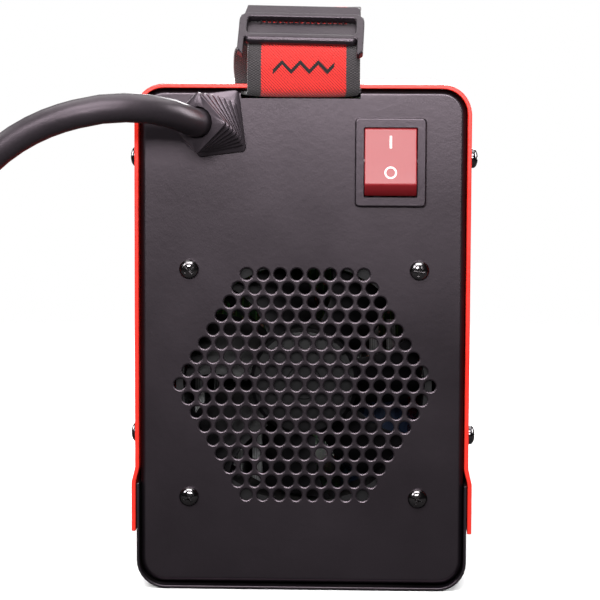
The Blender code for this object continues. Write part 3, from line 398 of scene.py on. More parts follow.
class NodePen:
    """Writes nodes and links into one node tree."""

    def __init__(self, tree: bpy.types.NodeTree) -> None:
        """Work on the given tree."""
        self.tree = tree

    def node(self, kind: str, **settings: object) -> bpy.types.Node:
        """Add a node and set its properties."""
        made = self.tree.nodes.new(kind)
        for name, value in settings.items():
            setattr(made, name, value)
        return made

    def feed(self, socket: bpy.types.NodeSocket, value: object) -> None:
        """Link a socket to another one, or set its value."""
        if isinstance(value, bpy.types.NodeSocket):
            self.tree.links.new(value, socket)
        else:
            socket.default_value = value

    def math(self, operation: str, first: object, second: object = 0.0,
             clamp: bool = False) -> bpy.types.NodeSocket:
        """Add a math node and return its result."""
        made = self.node("ShaderNodeMath", operation=operation, use_clamp=clamp)
        self.feed(made.inputs[0], first)
        self.feed(made.inputs[1], second)
        return made.outputs[0]

    def mix(self, factor: object, first: object, second: object,
            blend: str = "MIX") -> bpy.types.NodeSocket:
        """Add a colour mix and return its colour."""
        made = self.node("ShaderNodeMix", data_type="RGBA", blend_type=blend)
        self.feed(made.inputs["Factor"], factor)
        self.feed(made.inputs[6], first)
        self.feed(made.inputs[7], second)
        return made.outputs[2]

    def noise(self, vector: object, scale: object, detail: float = 2.0) -> bpy.types.NodeSocket:
        """Add a noise texture and return its value."""
        made = self.node("ShaderNodeTexNoise")
        self.feed(made.inputs["Vector"], vector)
        self.feed(made.inputs["Scale"], scale)
        self.feed(made.inputs["Detail"], detail)
        return made.outputs["Fac"]

    def range(self, value: object, low: float, high: float, to_low: object = 0.0,
              to_high: object = 1.0) -> bpy.types.NodeSocket:
        """Map a value from one range to another, clamped."""
        made = self.node("ShaderNodeMapRange")
        self.feed(made.inputs["Value"], value)
        self.feed(made.inputs["From Min"], low)
        self.feed(made.inputs["From Max"], high)
        self.feed(made.inputs["To Min"], to_low)
        self.feed(made.inputs["To Max"], to_high)
        return made.outputs["Result"]

    def bump(self, height: object, distance: object, strength: float = 1.0,
             normal: object = None) -> bpy.types.NodeSocket:
        """Add a bump of the given distance in metres and return its normal."""
        made = self.node("ShaderNodeBump")
        self.feed(made.inputs["Height"], height)
        self.feed(made.inputs["Distance"], distance)
        made.inputs["Strength"].default_value = strength
        if normal is not None:
            self.feed(made.inputs["Normal"], normal)
        return made.outputs["Normal"]

    def scaled(self, vector: object, factor: object) -> bpy.types.NodeSocket:
        """Multiply a vector or colour by a number and return the result."""
        made = self.node("ShaderNodeVectorMath", operation="SCALE")
        self.feed(made.inputs[0], vector)
        self.feed(made.inputs["Scale"], factor)
        return made.outputs[0]

    def axes(self, vector: object) -> list[bpy.types.NodeSocket]:
        """Split a vector into its three numbers."""
        made = self.node("ShaderNodeSeparateXYZ")
        self.feed(made.inputs[0], vector)
        return list(made.outputs)


def blank_material(name: str) -> tuple[bpy.types.Material, NodePen, bpy.types.Node]:
    """Start a material, and return it with a pen for its nodes and its shader."""
    material = bpy.data.materials.new(name)
    material.use_nodes = True
    return (material, NodePen(material.node_tree), material.node_tree.nodes["Principled BSDF"])


def start_group(name: str, inputs: dict[str, tuple[str, object]],
                outputs: dict[str, str]) -> tuple[bpy.types.NodeTree, NodePen, dict, dict]:
    """Start a shader node group with named sockets.

    Args:
        name: The group's name.
        inputs: Socket names with their types and default values.
        outputs: Socket names with their types.

    Returns:
        The group, a pen for it, its input sockets and its output sockets by name.
    """
    group = bpy.data.node_groups.new(name, "ShaderNodeTree")
    for label, (kind, default) in inputs.items():
        socket = group.interface.new_socket(label, in_out="INPUT", socket_type=kind)
        if default is not None:
            socket.default_value = default
    for label, kind in outputs.items():
        group.interface.new_socket(label, in_out="OUTPUT", socket_type=kind)
    pen = NodePen(group)
    source, sink = pen.node("NodeGroupInput"), pen.node("NodeGroupOutput")
    return (group, pen, {label: source.outputs[label] for label in inputs},
            {label: sink.inputs[label] for label in outputs})


FLOAT, VECTOR, COLOR = "NodeSocketFloat", "NodeSocketVector", "NodeSocketColor"


class Effects:
    """The shader node groups that more than one material uses, each built once."""

    def __init__(self) -> None:
        """Build the groups."""
        self.grain = self._grain()
        self.dust = self._dust()
        self.lines = self._lines()

    @staticmethod
    def _grain() -> bpy.types.NodeTree:
        """Fine surface grain: bump at two scales, and patches of colour and roughness."""
        group, pen, given, out = start_group(
            "surface_grain",
            {"Vector": (VECTOR, None), "Color": (COLOR, (0.5, 0.5, 0.5, 1.0)),
             "Shade": (FLOAT, 0.1), "Roughness": (FLOAT, 0.5), "Spread": (FLOAT, 0.1),
             "Grain Scale": (FLOAT, 1500.0), "Grain Depth": (FLOAT, 0.00003),
             "Patch Scale": (FLOAT, 40.0)},
            {"Color": COLOR, "Roughness": FLOAT, "Normal": VECTOR})
        fine = pen.noise(given["Vector"], given["Grain Scale"], 3.0)
        coarse = pen.noise(given["Vector"], pen.math("MULTIPLY", given["Grain Scale"], 0.31), 2.0)
        cloud = pen.noise(given["Vector"], given["Patch Scale"], 4.0)
        patch = pen.range(cloud, 0.3, 0.7, -1.0, 1.0)
        fleck = pen.range(fine, 0.35, 0.65, -1.0, 1.0)
        tone = pen.math("ADD", pen.math("MULTIPLY", patch, 0.6), pen.math("MULTIPLY", fleck, 0.4))
        gain = pen.math("ADD", pen.math("MULTIPLY", tone, given["Shade"]), 1.0)
        pen.feed(out["Color"], pen.scaled(given["Color"], gain))
        spread = pen.math("MULTIPLY", patch, given["Spread"])
        pen.feed(out["Roughness"], pen.math("ADD", given["Roughness"], spread, clamp=True))
        height = pen.math("ADD", fine, pen.math("MULTIPLY", coarse, 1.6))
        pen.feed(out["Normal"], pen.bump(height, given["Grain Depth"]))
        return group

    @staticmethod
    def _dust() -> bpy.types.NodeTree:
        """A faint film of dust that settles on faces that look up."""
        group, pen, given, out = start_group(
            "settled_dust",
            {"Vector": (VECTOR, None), "Color": (COLOR, (0.5, 0.5, 0.5, 1.0)),
             "Roughness": (FLOAT, 0.5), "Amount": (FLOAT, 0.05)},
            {"Color": COLOR, "Roughness": FLOAT})
        geometry = pen.node("ShaderNodeNewGeometry")
        upward = pen.range(pen.axes(geometry.outputs["Normal"])[2], 0.3, 1.0)
        cloud = pen.range(pen.noise(given["Vector"], 55.0, 6.0), 0.35, 0.75)
        cover = pen.math("MULTIPLY", pen.math("MULTIPLY", upward, cloud), given["Amount"])
        pen.feed(out["Color"], pen.mix(cover, given["Color"], (0.55, 0.52, 0.48, 1.0)))
        rougher = pen.math("ADD", given["Roughness"], pen.math("MULTIPLY", cover, 0.8), clamp=True)
        pen.feed(out["Roughness"], rougher)
        return group

    @staticmethod
    def _lines() -> bpy.types.NodeTree:
        """Fine parallel lines of a drawn, turned or wound surface, as a height and a painted shade
        that darkens their grooves.
        """
        group, pen, given, out = start_group(
            "drawn_lines",
            {"Vector": (VECTOR, None), "Pitch": (FLOAT, 0.0005), "Waver": (FLOAT, 0.3)},
            {"Height": FLOAT, "Shade": FLOAT})
        along = pen.axes(given["Vector"])[0]
        wander = pen.math("MULTIPLY", pen.noise(given["Vector"], 300.0), given["Waver"])
        phase = pen.math("ADD", pen.math("DIVIDE", along, given["Pitch"]), wander)
        wave = pen.math("SINE", pen.math("MULTIPLY", phase, TAU))
        pen.feed(out["Height"], pen.range(wave, -1.0, 1.0))
        # painted shade: the lines' grooves are darkened down to 0.55
        pen.feed(out["Shade"], pen.range(wave, -1.0, 0.2, 0.55, 1.0))
        return group


# ---------------------------------------------------------------------- finishes


@dataclass(frozen=True)
class Finish:
    """A painted, moulded or metal surface with fine grain."""

    name: str
    color: Color
    roughness: float
    metallic: float = 0.0
    shade: float = 0.12
    spread: float = 0.05
    grain: float = 0.0006
    depth: float = 0.00002
    patch: float = 0.03
    specular: float = 0.5
    tint: Color = (1.0, 1.0, 1.0)
    coat: float = 0.0
    coat_roughness: float = 0.2
    subsurface: float = 0.0
    dust: float = 0.03

    def set_constants(self, shader: bpy.types.Node) -> None:
        """Set the shader's constant sockets."""
        shader.inputs["Metallic"].default_value = self.metallic
        shader.inputs["Specular IOR Level"].default_value = self.specular
        shader.inputs["Specular Tint"].default_value = (*self.tint, 1.0)
        shader.inputs["Coat Weight"].default_value = self.coat
        shader.inputs["Coat Roughness"].default_value = self.coat_roughness
        shader.inputs["Subsurface Weight"].default_value = self.subsurface
        shader.inputs["Subsurface Radius"].default_value = (0.004, 0.001, 0.0008)
        shader.inputs["Subsurface Scale"].default_value = 0.6

    def build(self, effects: Effects) -> bpy.types.Material:
        """Make the material from the shared groups."""
        material, pen, shader = blank_material(self.name)
        self.set_constants(shader)
        place = pen.node("ShaderNodeTexCoord").outputs["Object"]
        grain = pen.node("ShaderNodeGroup", node_tree=effects.grain)
        for label, value in (("Vector", place), ("Color", (*self.color, 1.0)),
                             ("Shade", self.shade), ("Roughness", self.roughness),
                             ("Spread", self.spread), ("Grain Scale", 1.0 / self.grain),
                             ("Grain Depth", self.depth), ("Patch Scale", 1.0 / self.patch)):
            pen.feed(grain.inputs[label], value)
        dust = pen.node("ShaderNodeGroup", node_tree=effects.dust)
        for label, value in (("Vector", place), ("Color", grain.outputs["Color"]),
                             ("Roughness", grain.outputs["Roughness"]), ("Amount", self.dust)):
            pen.feed(dust.inputs[label], value)
        pen.feed(shader.inputs["Base Color"], dust.outputs["Color"])
        pen.feed(shader.inputs["Roughness"], dust.outputs["Roughness"])
        pen.feed(shader.inputs["Normal"], grain.outputs["Normal"])
        return material


@dataclass(frozen=True)
class Lined(Finish):
    """A metal or wound surface whose fine lines run across one axis."""

    pitch: float = 0.0004
    line_depth: float = 0.00004
    turn: tuple[float, float, float] = (0.0, 0.0, 0.0)

    def build(self, effects: Effects) -> bpy.types.Material:
        """Make the material and lay the lines, with their painted groove shade, over its grain."""
        material = super().build(effects)
        pen = NodePen(material.node_tree)
        shader = material.node_tree.nodes["Principled BSDF"]
        mapping = pen.node("ShaderNodeMapping")
        mapping.inputs["Rotation"].default_value = self.turn
        pen.feed(mapping.inputs["Vector"], pen.node("ShaderNodeTexCoord").outputs["Object"])
        lines = pen.node("ShaderNodeGroup", node_tree=effects.lines)
        pen.feed(lines.inputs["Vector"], mapping.outputs["Vector"])
        lines.inputs["Pitch"].default_value = self.pitch
        base = shader.inputs["Base Color"].links[0].from_socket
        # painted shade: the base colour is darkened in the lines' grooves
        shaded = pen.mix(1.0, base, lines.outputs["Shade"], "MULTIPLY")
        normal = shader.inputs["Normal"].links[0].from_socket
        pen.feed(shader.inputs["Base Color"], shaded)
        pen.feed(shader.inputs["Normal"],
                 pen.bump(lines.outputs["Height"], self.line_depth, normal=normal))
        return material


@dataclass(frozen=True)
class CircuitBoard(Finish):
    """Green solder mask over copper tracks, with pads."""

    def build(self, effects: Effects) -> bpy.types.Material:
        """Make the material with a maze of tracks under the mask."""
        material = super().build(effects)
        pen = NodePen(material.node_tree)
        shader = material.node_tree.nodes["Principled BSDF"]
        place = pen.node("ShaderNodeTexCoord").outputs["Object"]
        brick = pen.node("ShaderNodeTexBrick")
        pen.feed(brick.inputs["Vector"], place)
        brick.inputs["Scale"].default_value = 160.0
        brick.inputs["Mortar Size"].default_value = 0.05
        base = shader.inputs["Base Color"].links[0].from_socket
        tracks = pen.mix(brick.outputs["Fac"], base, (0.10, 0.36, 0.10, 1.0))
        cells = pen.node("ShaderNodeTexVoronoi")
        pen.feed(cells.inputs["Vector"], place)
        cells.inputs["Scale"].default_value = 260.0
        pads = pen.range(cells.outputs["Distance"], 0.16, 0.22, 1.0, 0.0)
        pen.feed(shader.inputs["Base Color"], pen.mix(pads, tracks, (0.62, 0.60, 0.55, 1.0)))
        return material


@dataclass(frozen=True)
class Webbing:
    """Woven strap: red twill between black borders, read from the strap's own UV map in metres."""

    name: str = "strap_webbing"
    red_half: float = 0.0150
    rib: float = 0.0011
    motif_from: float = 0.0
    motif_to: float = 0.0
    red: Color = (0.86, 0.024, 0.019)
    black: Color = (0.042, 0.035, 0.038)
    ink: Color = (0.006, 0.005, 0.006)
    motif_half: float = 0.0108

    def build(self) -> bpy.types.Material:
        """Make the material: colours, weave relief with painted shade in its valleys and a painted
        highlight on its crests, heathered threads and a zigzag motif.
        """
        material, pen, shader = blank_material(self.name)
        shader.inputs["Sheen Weight"].default_value = 0.35
        shader.inputs["Sheen Roughness"].default_value = 0.45
        shader.inputs["Specular IOR Level"].default_value = 0.35
        uv = pen.node("ShaderNodeUVMap", uv_map="webbing").outputs["UV"]
        across, along, _ = pen.axes(uv)
        aside = pen.math("ABSOLUTE", across)
        fuzz = pen.math("MULTIPLY", pen.noise(uv, 1800.0), 0.0005)
        in_red = pen.range(pen.math("ADD", aside, fuzz), self.red_half, self.red_half + 0.0004,
                           1.0, 0.0)
        slant = pen.math("ADD", across, along)
        twill = pen.math("SINE", pen.math("MULTIPLY", slant, TAU / self.rib))
        weft = pen.math("SINE", pen.math("MULTIPLY", along, TAU / (self.rib * 0.8)))
        warp = pen.math("SINE", pen.math("MULTIPLY", across, TAU / (self.rib * 1.3)))
        border = pen.math("MULTIPLY", weft, warp)
        weave = pen.mix(in_red, border, twill)
        thread = pen.range(pen.noise(uv, 2600.0, 3.0), 0.25, 0.75, 0.45, 1.40)
        # painted shading: the weave's valleys are darkened and its crests lifted a little, as light
        # falls on woven relief
        weave_painted_shading = pen.range(weave, -1.0, 0.6, 0.35, 1.15)
        color = pen.mix(in_red, (*self.black, 1.0), (*self.red, 1.0))
        wave = pen.math("PINGPONG", pen.math("ADD", across, 0.03), 0.0032)
        middle = pen.math("SUBTRACT", along, (self.motif_from + self.motif_to) / 2)
        zigzag = pen.math("SUBTRACT", wave, 0.0016)
        line = pen.math("ABSOLUTE", pen.math("SUBTRACT", middle, zigzag))
        stroke = pen.math("MULTIPLY", pen.range(line, 0.0007, 0.0010, 1.0, 0.0),
                          pen.range(aside, self.motif_half, self.motif_half + 0.0002, 1.0, 0.0))
        color = pen.mix(stroke, color, (*self.ink, 1.0))
        # the thread tone is the webbing's own; the weave factor multiplied in with it is painted
        # shade and highlight
        heathered_and_shaded = pen.scaled(color, pen.math("MULTIPLY", thread, weave_painted_shading))
        pen.feed(shader.inputs["Base Color"], heathered_and_shaded)
        pen.feed(shader.inputs["Roughness"], pen.range(thread, 0.45, 1.40, 0.85, 0.62))
        pen.feed(shader.inputs["Normal"], pen.bump(weave, 0.00016, 0.8))
        return material


class Paintbox:
    """Every material of the machine, made once."""

    def __init__(self, effects: Effects) -> None:
        """Build the finishes."""
        kinds = (
            Finish("red_powder_coat", (0.70, 0.022, 0.012), 0.30, grain=0.0016, depth=0.00003,
                   shade=0.05, coat=0.35, coat_roughness=0.18, dust=0.02),
            Finish("black_powder_coat", (0.0030, 0.0023, 0.0032), 0.30, grain=0.0007,
                   depth=0.000012, shade=0.30, spread=0.02, specular=0.75, tint=PLUM, dust=0.01),
            Finish("switch_plastic", (0.0070, 0.0052, 0.0070), 0.33, grain=0.0005, specular=0.7,
                   tint=PLUM, dust=0.0),
            Finish("buckle_plastic", (0.0090, 0.0072, 0.0090), 0.31, grain=0.0005, depth=0.00005,
                   shade=0.25, tint=PLUM),
            Finish("fan_plastic", (0.0045, 0.0040, 0.0048), 0.50, grain=0.0009, specular=0.2),
            Finish("knob_plastic", (0.024, 0.022, 0.024), 0.40),
            Finish("fascia_plastic", (0.045, 0.044, 0.048), 0.38, grain=0.0009),
            Finish("grey_plastic", (0.20, 0.20, 0.21), 0.5),
            Finish("boot_rubber", (0.020, 0.016, 0.0195), 0.36, grain=0.0007, depth=0.00003,
                   specular=0.7, tint=PLUM, dust=0.02),
            Finish("cord_rubber", (0.016, 0.013, 0.0155), 0.40, grain=0.0009, depth=0.00003,
                   shade=0.18, spread=0.07, tint=PLUM),
            Finish("rocker_red", (0.25, 0.007, 0.012), 0.42, shade=0.04, grain=0.0010,
                   depth=0.000006, specular=0.7, dust=0.0),
            Finish("printed_white", (0.86, 0.85, 0.84), 0.45, shade=0.03, depth=0.000004, dust=0.0),
            Finish("black_chrome", (0.13, 0.12, 0.125), 0.16, metallic=1.0, shade=0.1,
                   depth=0.000005, dust=0.0),
            Finish("nickel", (0.66, 0.64, 0.60), 0.24, metallic=1.0, shade=0.06, depth=0.000006),
            Finish("turned_brass", (0.78, 0.56, 0.26), 0.25, metallic=1.0, shade=0.08,
                   depth=0.000008),
            Finish("bare_copper", (0.83, 0.42, 0.27), 0.32, metallic=1.0, shade=0.15, spread=0.1),
            Lined("drawn_aluminium", (0.72, 0.72, 0.73), 0.34, metallic=1.0, pitch=0.0009,
                  line_depth=0.00001),
            Lined("copper_winding", (0.62, 0.23, 0.09), 0.30, metallic=0.6, pitch=0.0016,
                  line_depth=0.0004, coat=0.4),
            CircuitBoard("circuit_board", (0.015, 0.13, 0.045), 0.35, coat=0.4),
            Finish("ferrite", (0.045, 0.045, 0.048), 0.75, shade=0.3, grain=0.0012, depth=0.00008),
            Finish("capacitor_sleeve", (0.02, 0.03, 0.06), 0.25, coat=0.3),
            Finish("green_lens", (0.04, 0.42, 0.10), 0.12, coat=0.6, subsurface=0.2, shade=0.02),
            Finish("amber_lens", (0.80, 0.34, 0.02), 0.12, coat=0.6, subsurface=0.2, shade=0.02),
            Finish("stitch_thread", (0.035, 0.030, 0.034), 0.7, shade=0.3, grain=0.0004),
        )
        self._made = {kind.name: kind.build(effects) for kind in kinds}

    def __getitem__(self, name: str) -> bpy.types.Material:
        """The material of that name."""
        return self._made[name]


# ---------------------------------------------------------------------- sheet-metal casing


def side_screw_holes(tools: Workpiece, side: int) -> None:
    """Add cutters for the side screws of one end, right across the machine."""
    for z in SIDE_SCREW_HEIGHTS:
        tools.rod((-0.07, side * SIDE_SCREW_Y, z), (0.07, side * SIDE_SCREW_Y, z), SCREW_HOLE)


@dataclass
class Casing:
    """Red top cover and black base tray."""

    paints: Paintbox
    length: float = 0.280
    cover_half: float = 0.060
    cover_top: float = 0.182
    cover_sheet: float = 0.0015
    cover_corner: float = 0.0105
    flare_half: float = 0.0613
    flare_start: float = 0.0440
    flare_end: float = 0.0388
    skirt_bottom: float = 0.0208
    tray_half: float = 0.0595
    tray_sheet: float = 0.0010
    tray_wall_top: float = 0.0383
    tray_corner: float = 0.0103
    slot_y: float = 0.127
    slot_middles: tuple[float, float] = (-0.0042, -0.0026)
    slot_width: float = 0.0436
    louvres: int = 9
    louvre_pitch: float = 0.0085

    @staticmethod
    def _bent(outer: list[Point], inner: list[Point], radii: Sequence[float],
              sheet: float) -> list[Vector]:
        """Section of a bent sheet: outer skin there, inner skin back."""
        inward = [radius - sheet if radius > 0.005 else radius for radius in radii]
        return fillet(outer, radii) + fillet(inner, inward)[::-1]

    def cover(self) -> None:
        """Top cover with strap slots, louvres and screw holes."""
        outer = [(-self.flare_half, self.skirt_bottom), (-self.flare_half, self.flare_end),
                 (-self.cover_half, self.flare_start), (-self.cover_half, self.cover_top),
                 (self.cover_half, self.cover_top), (self.cover_half, self.flare_start),
                 (self.flare_half, self.flare_end), (self.flare_half, self.skirt_bottom)]
        sheet = self.cover_sheet
        inner = [(math.copysign(abs(x) - sheet, x), min(z, self.cover_top - sheet))
                 for x, z in outer]
        radii = (0.004, 0.004, self.cover_corner, self.cover_corner, 0.004, 0.004)
        piece = Workpiece()
        piece.prism(self._bent(outer, inner, radii, sheet), self.length, REARWARD)
        cover = piece.object("cover_shell")
        tools = Workpiece()
        slot = rounded_rectangle(self.slot_width, 0.004, 0.0019)
        for side, middle in zip((-1, 1), self.slot_middles):
            tools.prism(slot, 0.012,
                        Matrix.Translation((middle, side * self.slot_y, self.cover_top)))
            side_screw_holes(tools, side)
        across = Matrix.Rotation(math.radians(90), 4, "Y")
        louvre = rounded_rectangle(0.034, 0.0035, 0.0017)
        for index in range(self.louvres):
            y = 0.036 + self.louvre_pitch * index
            tools.prism(louvre, 0.140, Matrix.Translation((0, y, 0.083)) @ across)
        combine(cover, [tools], smooth=30)
        soften(cover, 0.0003)
        settle(cover, self.paints["red_powder_coat"], ["top_cover"])

    def tray(self) -> None:
        """Base tray with its floor vents."""
        outer = [(-self.tray_half, self.tray_wall_top), (-self.tray_half, 0.0),
                 (self.tray_half, 0.0), (self.tray_half, self.tray_wall_top)]
        inner = [(math.copysign(self.tray_half - self.tray_sheet, x), max(z, self.tray_sheet))
                 for x, z in outer]
        piece = Workpiece()
        piece.prism(self._bent(outer, inner, (self.tray_corner,) * 2, self.tray_sheet), self.length,
                    REARWARD)
        tray = piece.object("tray_shell")
        tools = Workpiece()
        slot = rounded_rectangle(0.060, 0.004, 0.0019)
        for index in range(7):
            tools.prism(slot, 0.010, Matrix.Translation((0, 0.040 + 0.010 * index, 0)))
        combine(tray, [tools], smooth=30)
        soften(tray, 0.0002)
        settle(tray, self.paints["black_powder_coat"], ["base_tray"])


@dataclass
class Panel:
    """A black panel whose edges are bent in, set a little inside the casing's end."""

    paints: Paintbox
    half: float = 0.0582
    bottom: float = 0.0018
    top: float = 0.1802
    sheet: float = 0.0012
    depth: float = 0.0205
    corner: float = 0.0087
    edge_radius: float = 0.0020
    face: float = 0.1373
    hole_span: tuple[float, float] = (0.130, 0.145)
    notch_z: float = 0.1819
    notch_depths: tuple[float, float, float] = (0.142, 0.1355, 0.112)
    notch_sides: tuple[float, ...] = (-0.0236, 0.0184, 0.0184, -0.0236)

    def pan(self, name: str, side: int) -> bpy.types.Object:
        """The pressed pan, open towards the inside of the machine.

        Args:
            name: The piece's name.
            side: -1 for the rear panel, 1 for the front one.

        Returns:
            The pan with its sheet thickness.
        """
        piece = Workpiece()
        height = self.top - self.bottom
        piece.block((2 * self.half, self.depth, height), (0, -self.depth / 2, height / 2))
        upright = [edge for edge in piece.bm.edges
                   if abs(edge.verts[0].co.y - edge.verts[1].co.y) > self.depth / 2]
        piece.round_edges(upright, self.corner, 10)
        rim = [edge for edge in piece.bm.edges if all(vert.co.y > -1e-6 for vert in edge.verts)]
        piece.round_edges(rim, self.edge_radius, 5)
        back = [face for face in piece.bm.faces
                if all(vert.co.y < 1e-6 - self.depth for vert in face.verts)]
        bmesh.ops.delete(piece.bm, geom=back, context="FACES")
        place = (Matrix.Translation((0, side * self.face, self.bottom))
                 @ Matrix.Rotation(0.0 if side > 0 else math.pi, 4, "Z"))
        piece.move(place)
        obj = piece.object(name)
        shell = obj.modifiers.new("sheet", "SOLIDIFY")
        shell.thickness = self.sheet
        shell.offset = -1.0
        return freeze(obj)

    def shared_holes(self, side: int) -> Workpiece:
        """Cutters for the side screws and the webbing's notch in the top flange."""
        tools = Workpiece()
        side_screw_holes(tools, side)
        outer, step, inner = (side * depth for depth in self.notch_depths)
        left, right, deep_right, deep_left = self.notch_sides
        notch = [(left, outer), (right, outer), (right, step), (deep_right, step),
                 (deep_right, inner), (deep_left, inner), (deep_left, step), (left, step)]
        if right == deep_right:
            notch = [point for point in notch if point[1] != step]
        tools.prism(notch, 0.010, Matrix.Translation((0, 0, self.notch_z)))
        return tools

    def hole(self, tools: Workpiece, side: int, x: float, z: float, radius: float,
             sides: int = 24) -> None:
        """Add a cutter for one round hole in the panel's face.

        Args:
            tools: The cutters so far.
            side: -1 for the rear panel, 1 for the front one.
            x: The hole's place across.
            z: The hole's height.
            radius: Its radius.
            sides: Number of steps round.
        """
        low, high = sorted(side * y for y in self.hole_span)
        tools.rod((x, low, z), (x, high, z), radius, sides)


@dataclass
class RearPanel(Panel):
    """Rear panel with the fan grille, the switch cut-out and the cord hole."""

    fan_screw: float = 0.04125
    cord_x: float = -0.0322
    cord_z: float = 0.168
    grille_x: float = 0.0010
    grille_z: float = 0.0741
    pitch_x: float = 0.0060
    pitch_z: float = 0.0050
    hole_radius: float = 0.00215
    rolled_edge: float = 0.00062
    dish: float = 0.00018
    rows: int = 8
    notch_sides: tuple[float, ...] = (-0.0222, 0.0205, 0.0190, -0.0256)

    def hole_places(self) -> list[Matrix]:
        """Places of the two hundred grille holes, in seventeen staggered rows."""
        places = []
        for row in range(-self.rows, self.rows + 1):
            count = 2 * self.rows - abs(row)
            for column in range(count):
                x = self.grille_x + (column - (count - 1) / 2) * self.pitch_x
                place = Vector((x, -self.face, self.grille_z + row * self.pitch_z))
                places.append(Matrix.Translation(place) @ REARWARD)
        return places

    def grille_cutter(self) -> Workpiece:
        """Two hundred punches, each flaring at the panel's face where the sheet is drawn in."""
        punch = Workpiece()
        radius, flare = self.hole_radius, self.rolled_edge
        mouth = [(radius + flare * reach, -depth) for reach, depth in
                 ((1.0, 0.0), (0.5, self.dish * 0.45), (0.1, self.dish), (0.0, self.dish * 2))]
        profile = [(0.0, 0.001), (radius + flare, 0.001), *mouth, (radius, -0.004), (0.0, -0.004)]
        punch.lathe(profile, Matrix.Identity(4), 20)
        template = punch.mesh("punch")
        grille = Workpiece()
        grille.stamp(template, self.hole_places())
        bpy.data.meshes.remove(template)
        return grille

    def build(self) -> None:
        """The finished rear panel."""
        panel = self.pan("rear_panel_sheet", -1)
        tools = self.shared_holes(-1)
        for side_x in (-1, 1):
            for side_z in (-1, 1):
                self.hole(tools, -1, FAN_X + side_x * self.fan_screw,
                          FAN_Z + side_z * self.fan_screw, SCREW_HOLE)
        self.hole(tools, -1, self.cord_x, self.cord_z, 0.0075, 32)
        tools.block((0.0228, 0.010, 0.0304), (SWITCH_X, -self.face, SWITCH_Z))
        combine(panel, [self.grille_cutter(), tools], smooth=35)
        flatten(panel)
        settle(panel, self.paints["black_powder_coat"], ["rear_panel"])


@dataclass
class FrontPanel(Panel):
    """Front panel with its sockets, regulator, lamps and outlet slots."""

    def build(self) -> None:
        """The finished front panel."""
        panel = self.pan("front_panel_sheet", 1)
        tools = self.shared_holes(1)
        for side in (-1, 1):
            self.hole(tools, 1, side * SOCKET_X, SOCKET_Z, 0.0148, 40)
            self.hole(tools, 1, side * LAMP_X, LAMP_Z, 0.0028)
        self.hole(tools, 1, 0.0, KNOB_Z, 0.0050)
        slot = rounded_rectangle(0.080, 0.0032, 0.0015)
        for index in range(6):
            place = Matrix.Translation((0, self.face, 0.0690 + 0.0062 * index)) @ FORWARD
            tools.prism(slot, 0.010, place)
        combine(panel, [tools], smooth=35)
        flatten(panel)
        settle(panel, self.paints["black_powder_coat"], ["front_panel"])


# ---------------------------------------------------------------------- screws


@dataclass
class Fasteners:
    """Pan-head screws with a cross recess."""

    paints: Paintbox
    head_radius: float = 0.0035
    head_height: float = 0.0024
    shank_radius: float = 0.00195
    gap: float = 0.0003

    def template(self, length: float) -> bpy.types.Mesh:
        """One screw standing on its head's underside, along local Z."""
        radius, height = self.head_radius, self.head_height
        dome = [(radius * math.sin(angle), height * (0.30 + 0.70 * math.cos(angle)))
                for angle in (math.radians(9 * step) for step in range(11))]
        thread = []
        turns = int(length / 0.0007)
        for turn in range(turns):
            drop = -turn * length / turns
            thread += [(self.shank_radius, drop - 0.0001),
                       (self.shank_radius * 0.84, drop - 0.5 * length / turns)]
        profile = dome + [(radius, 0.0), (self.shank_radius, 0.0), *thread, (0.0, -length)]
        piece = Workpiece()
        piece.lathe(profile, Matrix.Identity(4), 32)
        screw = piece.object("screw_template")
        recess = Workpiece()
        recess.prism(cross_outline(radius * 0.60, 0.00045), 0.0030,
                     Matrix.Translation((0, 0, height)))
        tip = Workpiece()
        tip.rod((0, 0, height + 0.0002), (0, 0, height - 0.0019), 0.00115, 16, 0.0004)
        combine(screw, [recess, tip], smooth=30)
        mesh = screw.data
        bpy.data.objects.remove(screw, do_unlink=True)
        return mesh

    def drive(self, name: str, node: str, template: bpy.types.Mesh, place: Point,
              direction: Point, twist: float) -> None:
        """Put one screw in its place.

        Args:
            name: The piece's name.
            node: The CAD screw that it stands for.
            template: The screw's mesh.
            place: Where the underside of the head sits.
            direction: Where the head looks.
            twist: Angle of the cross recess in degrees.
        """
        turn = Vector(direction).to_track_quat("Z", "Y").to_matrix().to_4x4()
        spin = Matrix.Rotation(math.radians(twist), 4, "Z")
        piece = Workpiece()
        piece.stamp(template, [Matrix.Translation(Vector(place)) @ turn @ spin])
        settle(piece.object(name, 30), self.paints["black_chrome"], [node])

    def build(self, rear: RearPanel, casing: Casing) -> None:
        """Four fan screws in the rear panel and eight screws in the cover's sides."""
        long_screw, short_screw = self.template(0.0120), self.template(0.0065)
        corners = [(side_x, side_z) for side_z in (1, -1) for side_x in (-1, 1)]
        for index, (side_x, side_z) in enumerate(corners, start=1):
            place = (FAN_X + side_x * rear.fan_screw, -rear.face - self.gap,
                     FAN_Z + side_z * rear.fan_screw)
            self.drive(f"fan_screw_head_{index}", f"fan_screw_{index}", long_screw, place,
                       (0, -1, 0), 8 + 37 * index)
        twist = 0
        for end, y in (("rear", -SIDE_SCREW_Y), ("front", SIDE_SCREW_Y)):
            for hand, sign in (("left", -1), ("right", 1)):
                for level, z in zip(("upper", "lower"), SIDE_SCREW_HEIGHTS):
                    twist += 29
                    name = f"{end}_{hand}_{level}"
                    self.drive(f"cover_screw_{name}", f"side_screw_{name}", short_screw,
                               (sign * (casing.cover_half + self.gap), y, z), (sign, 0, 0), twist)


# ---------------------------------------------------------------------- cooling fan


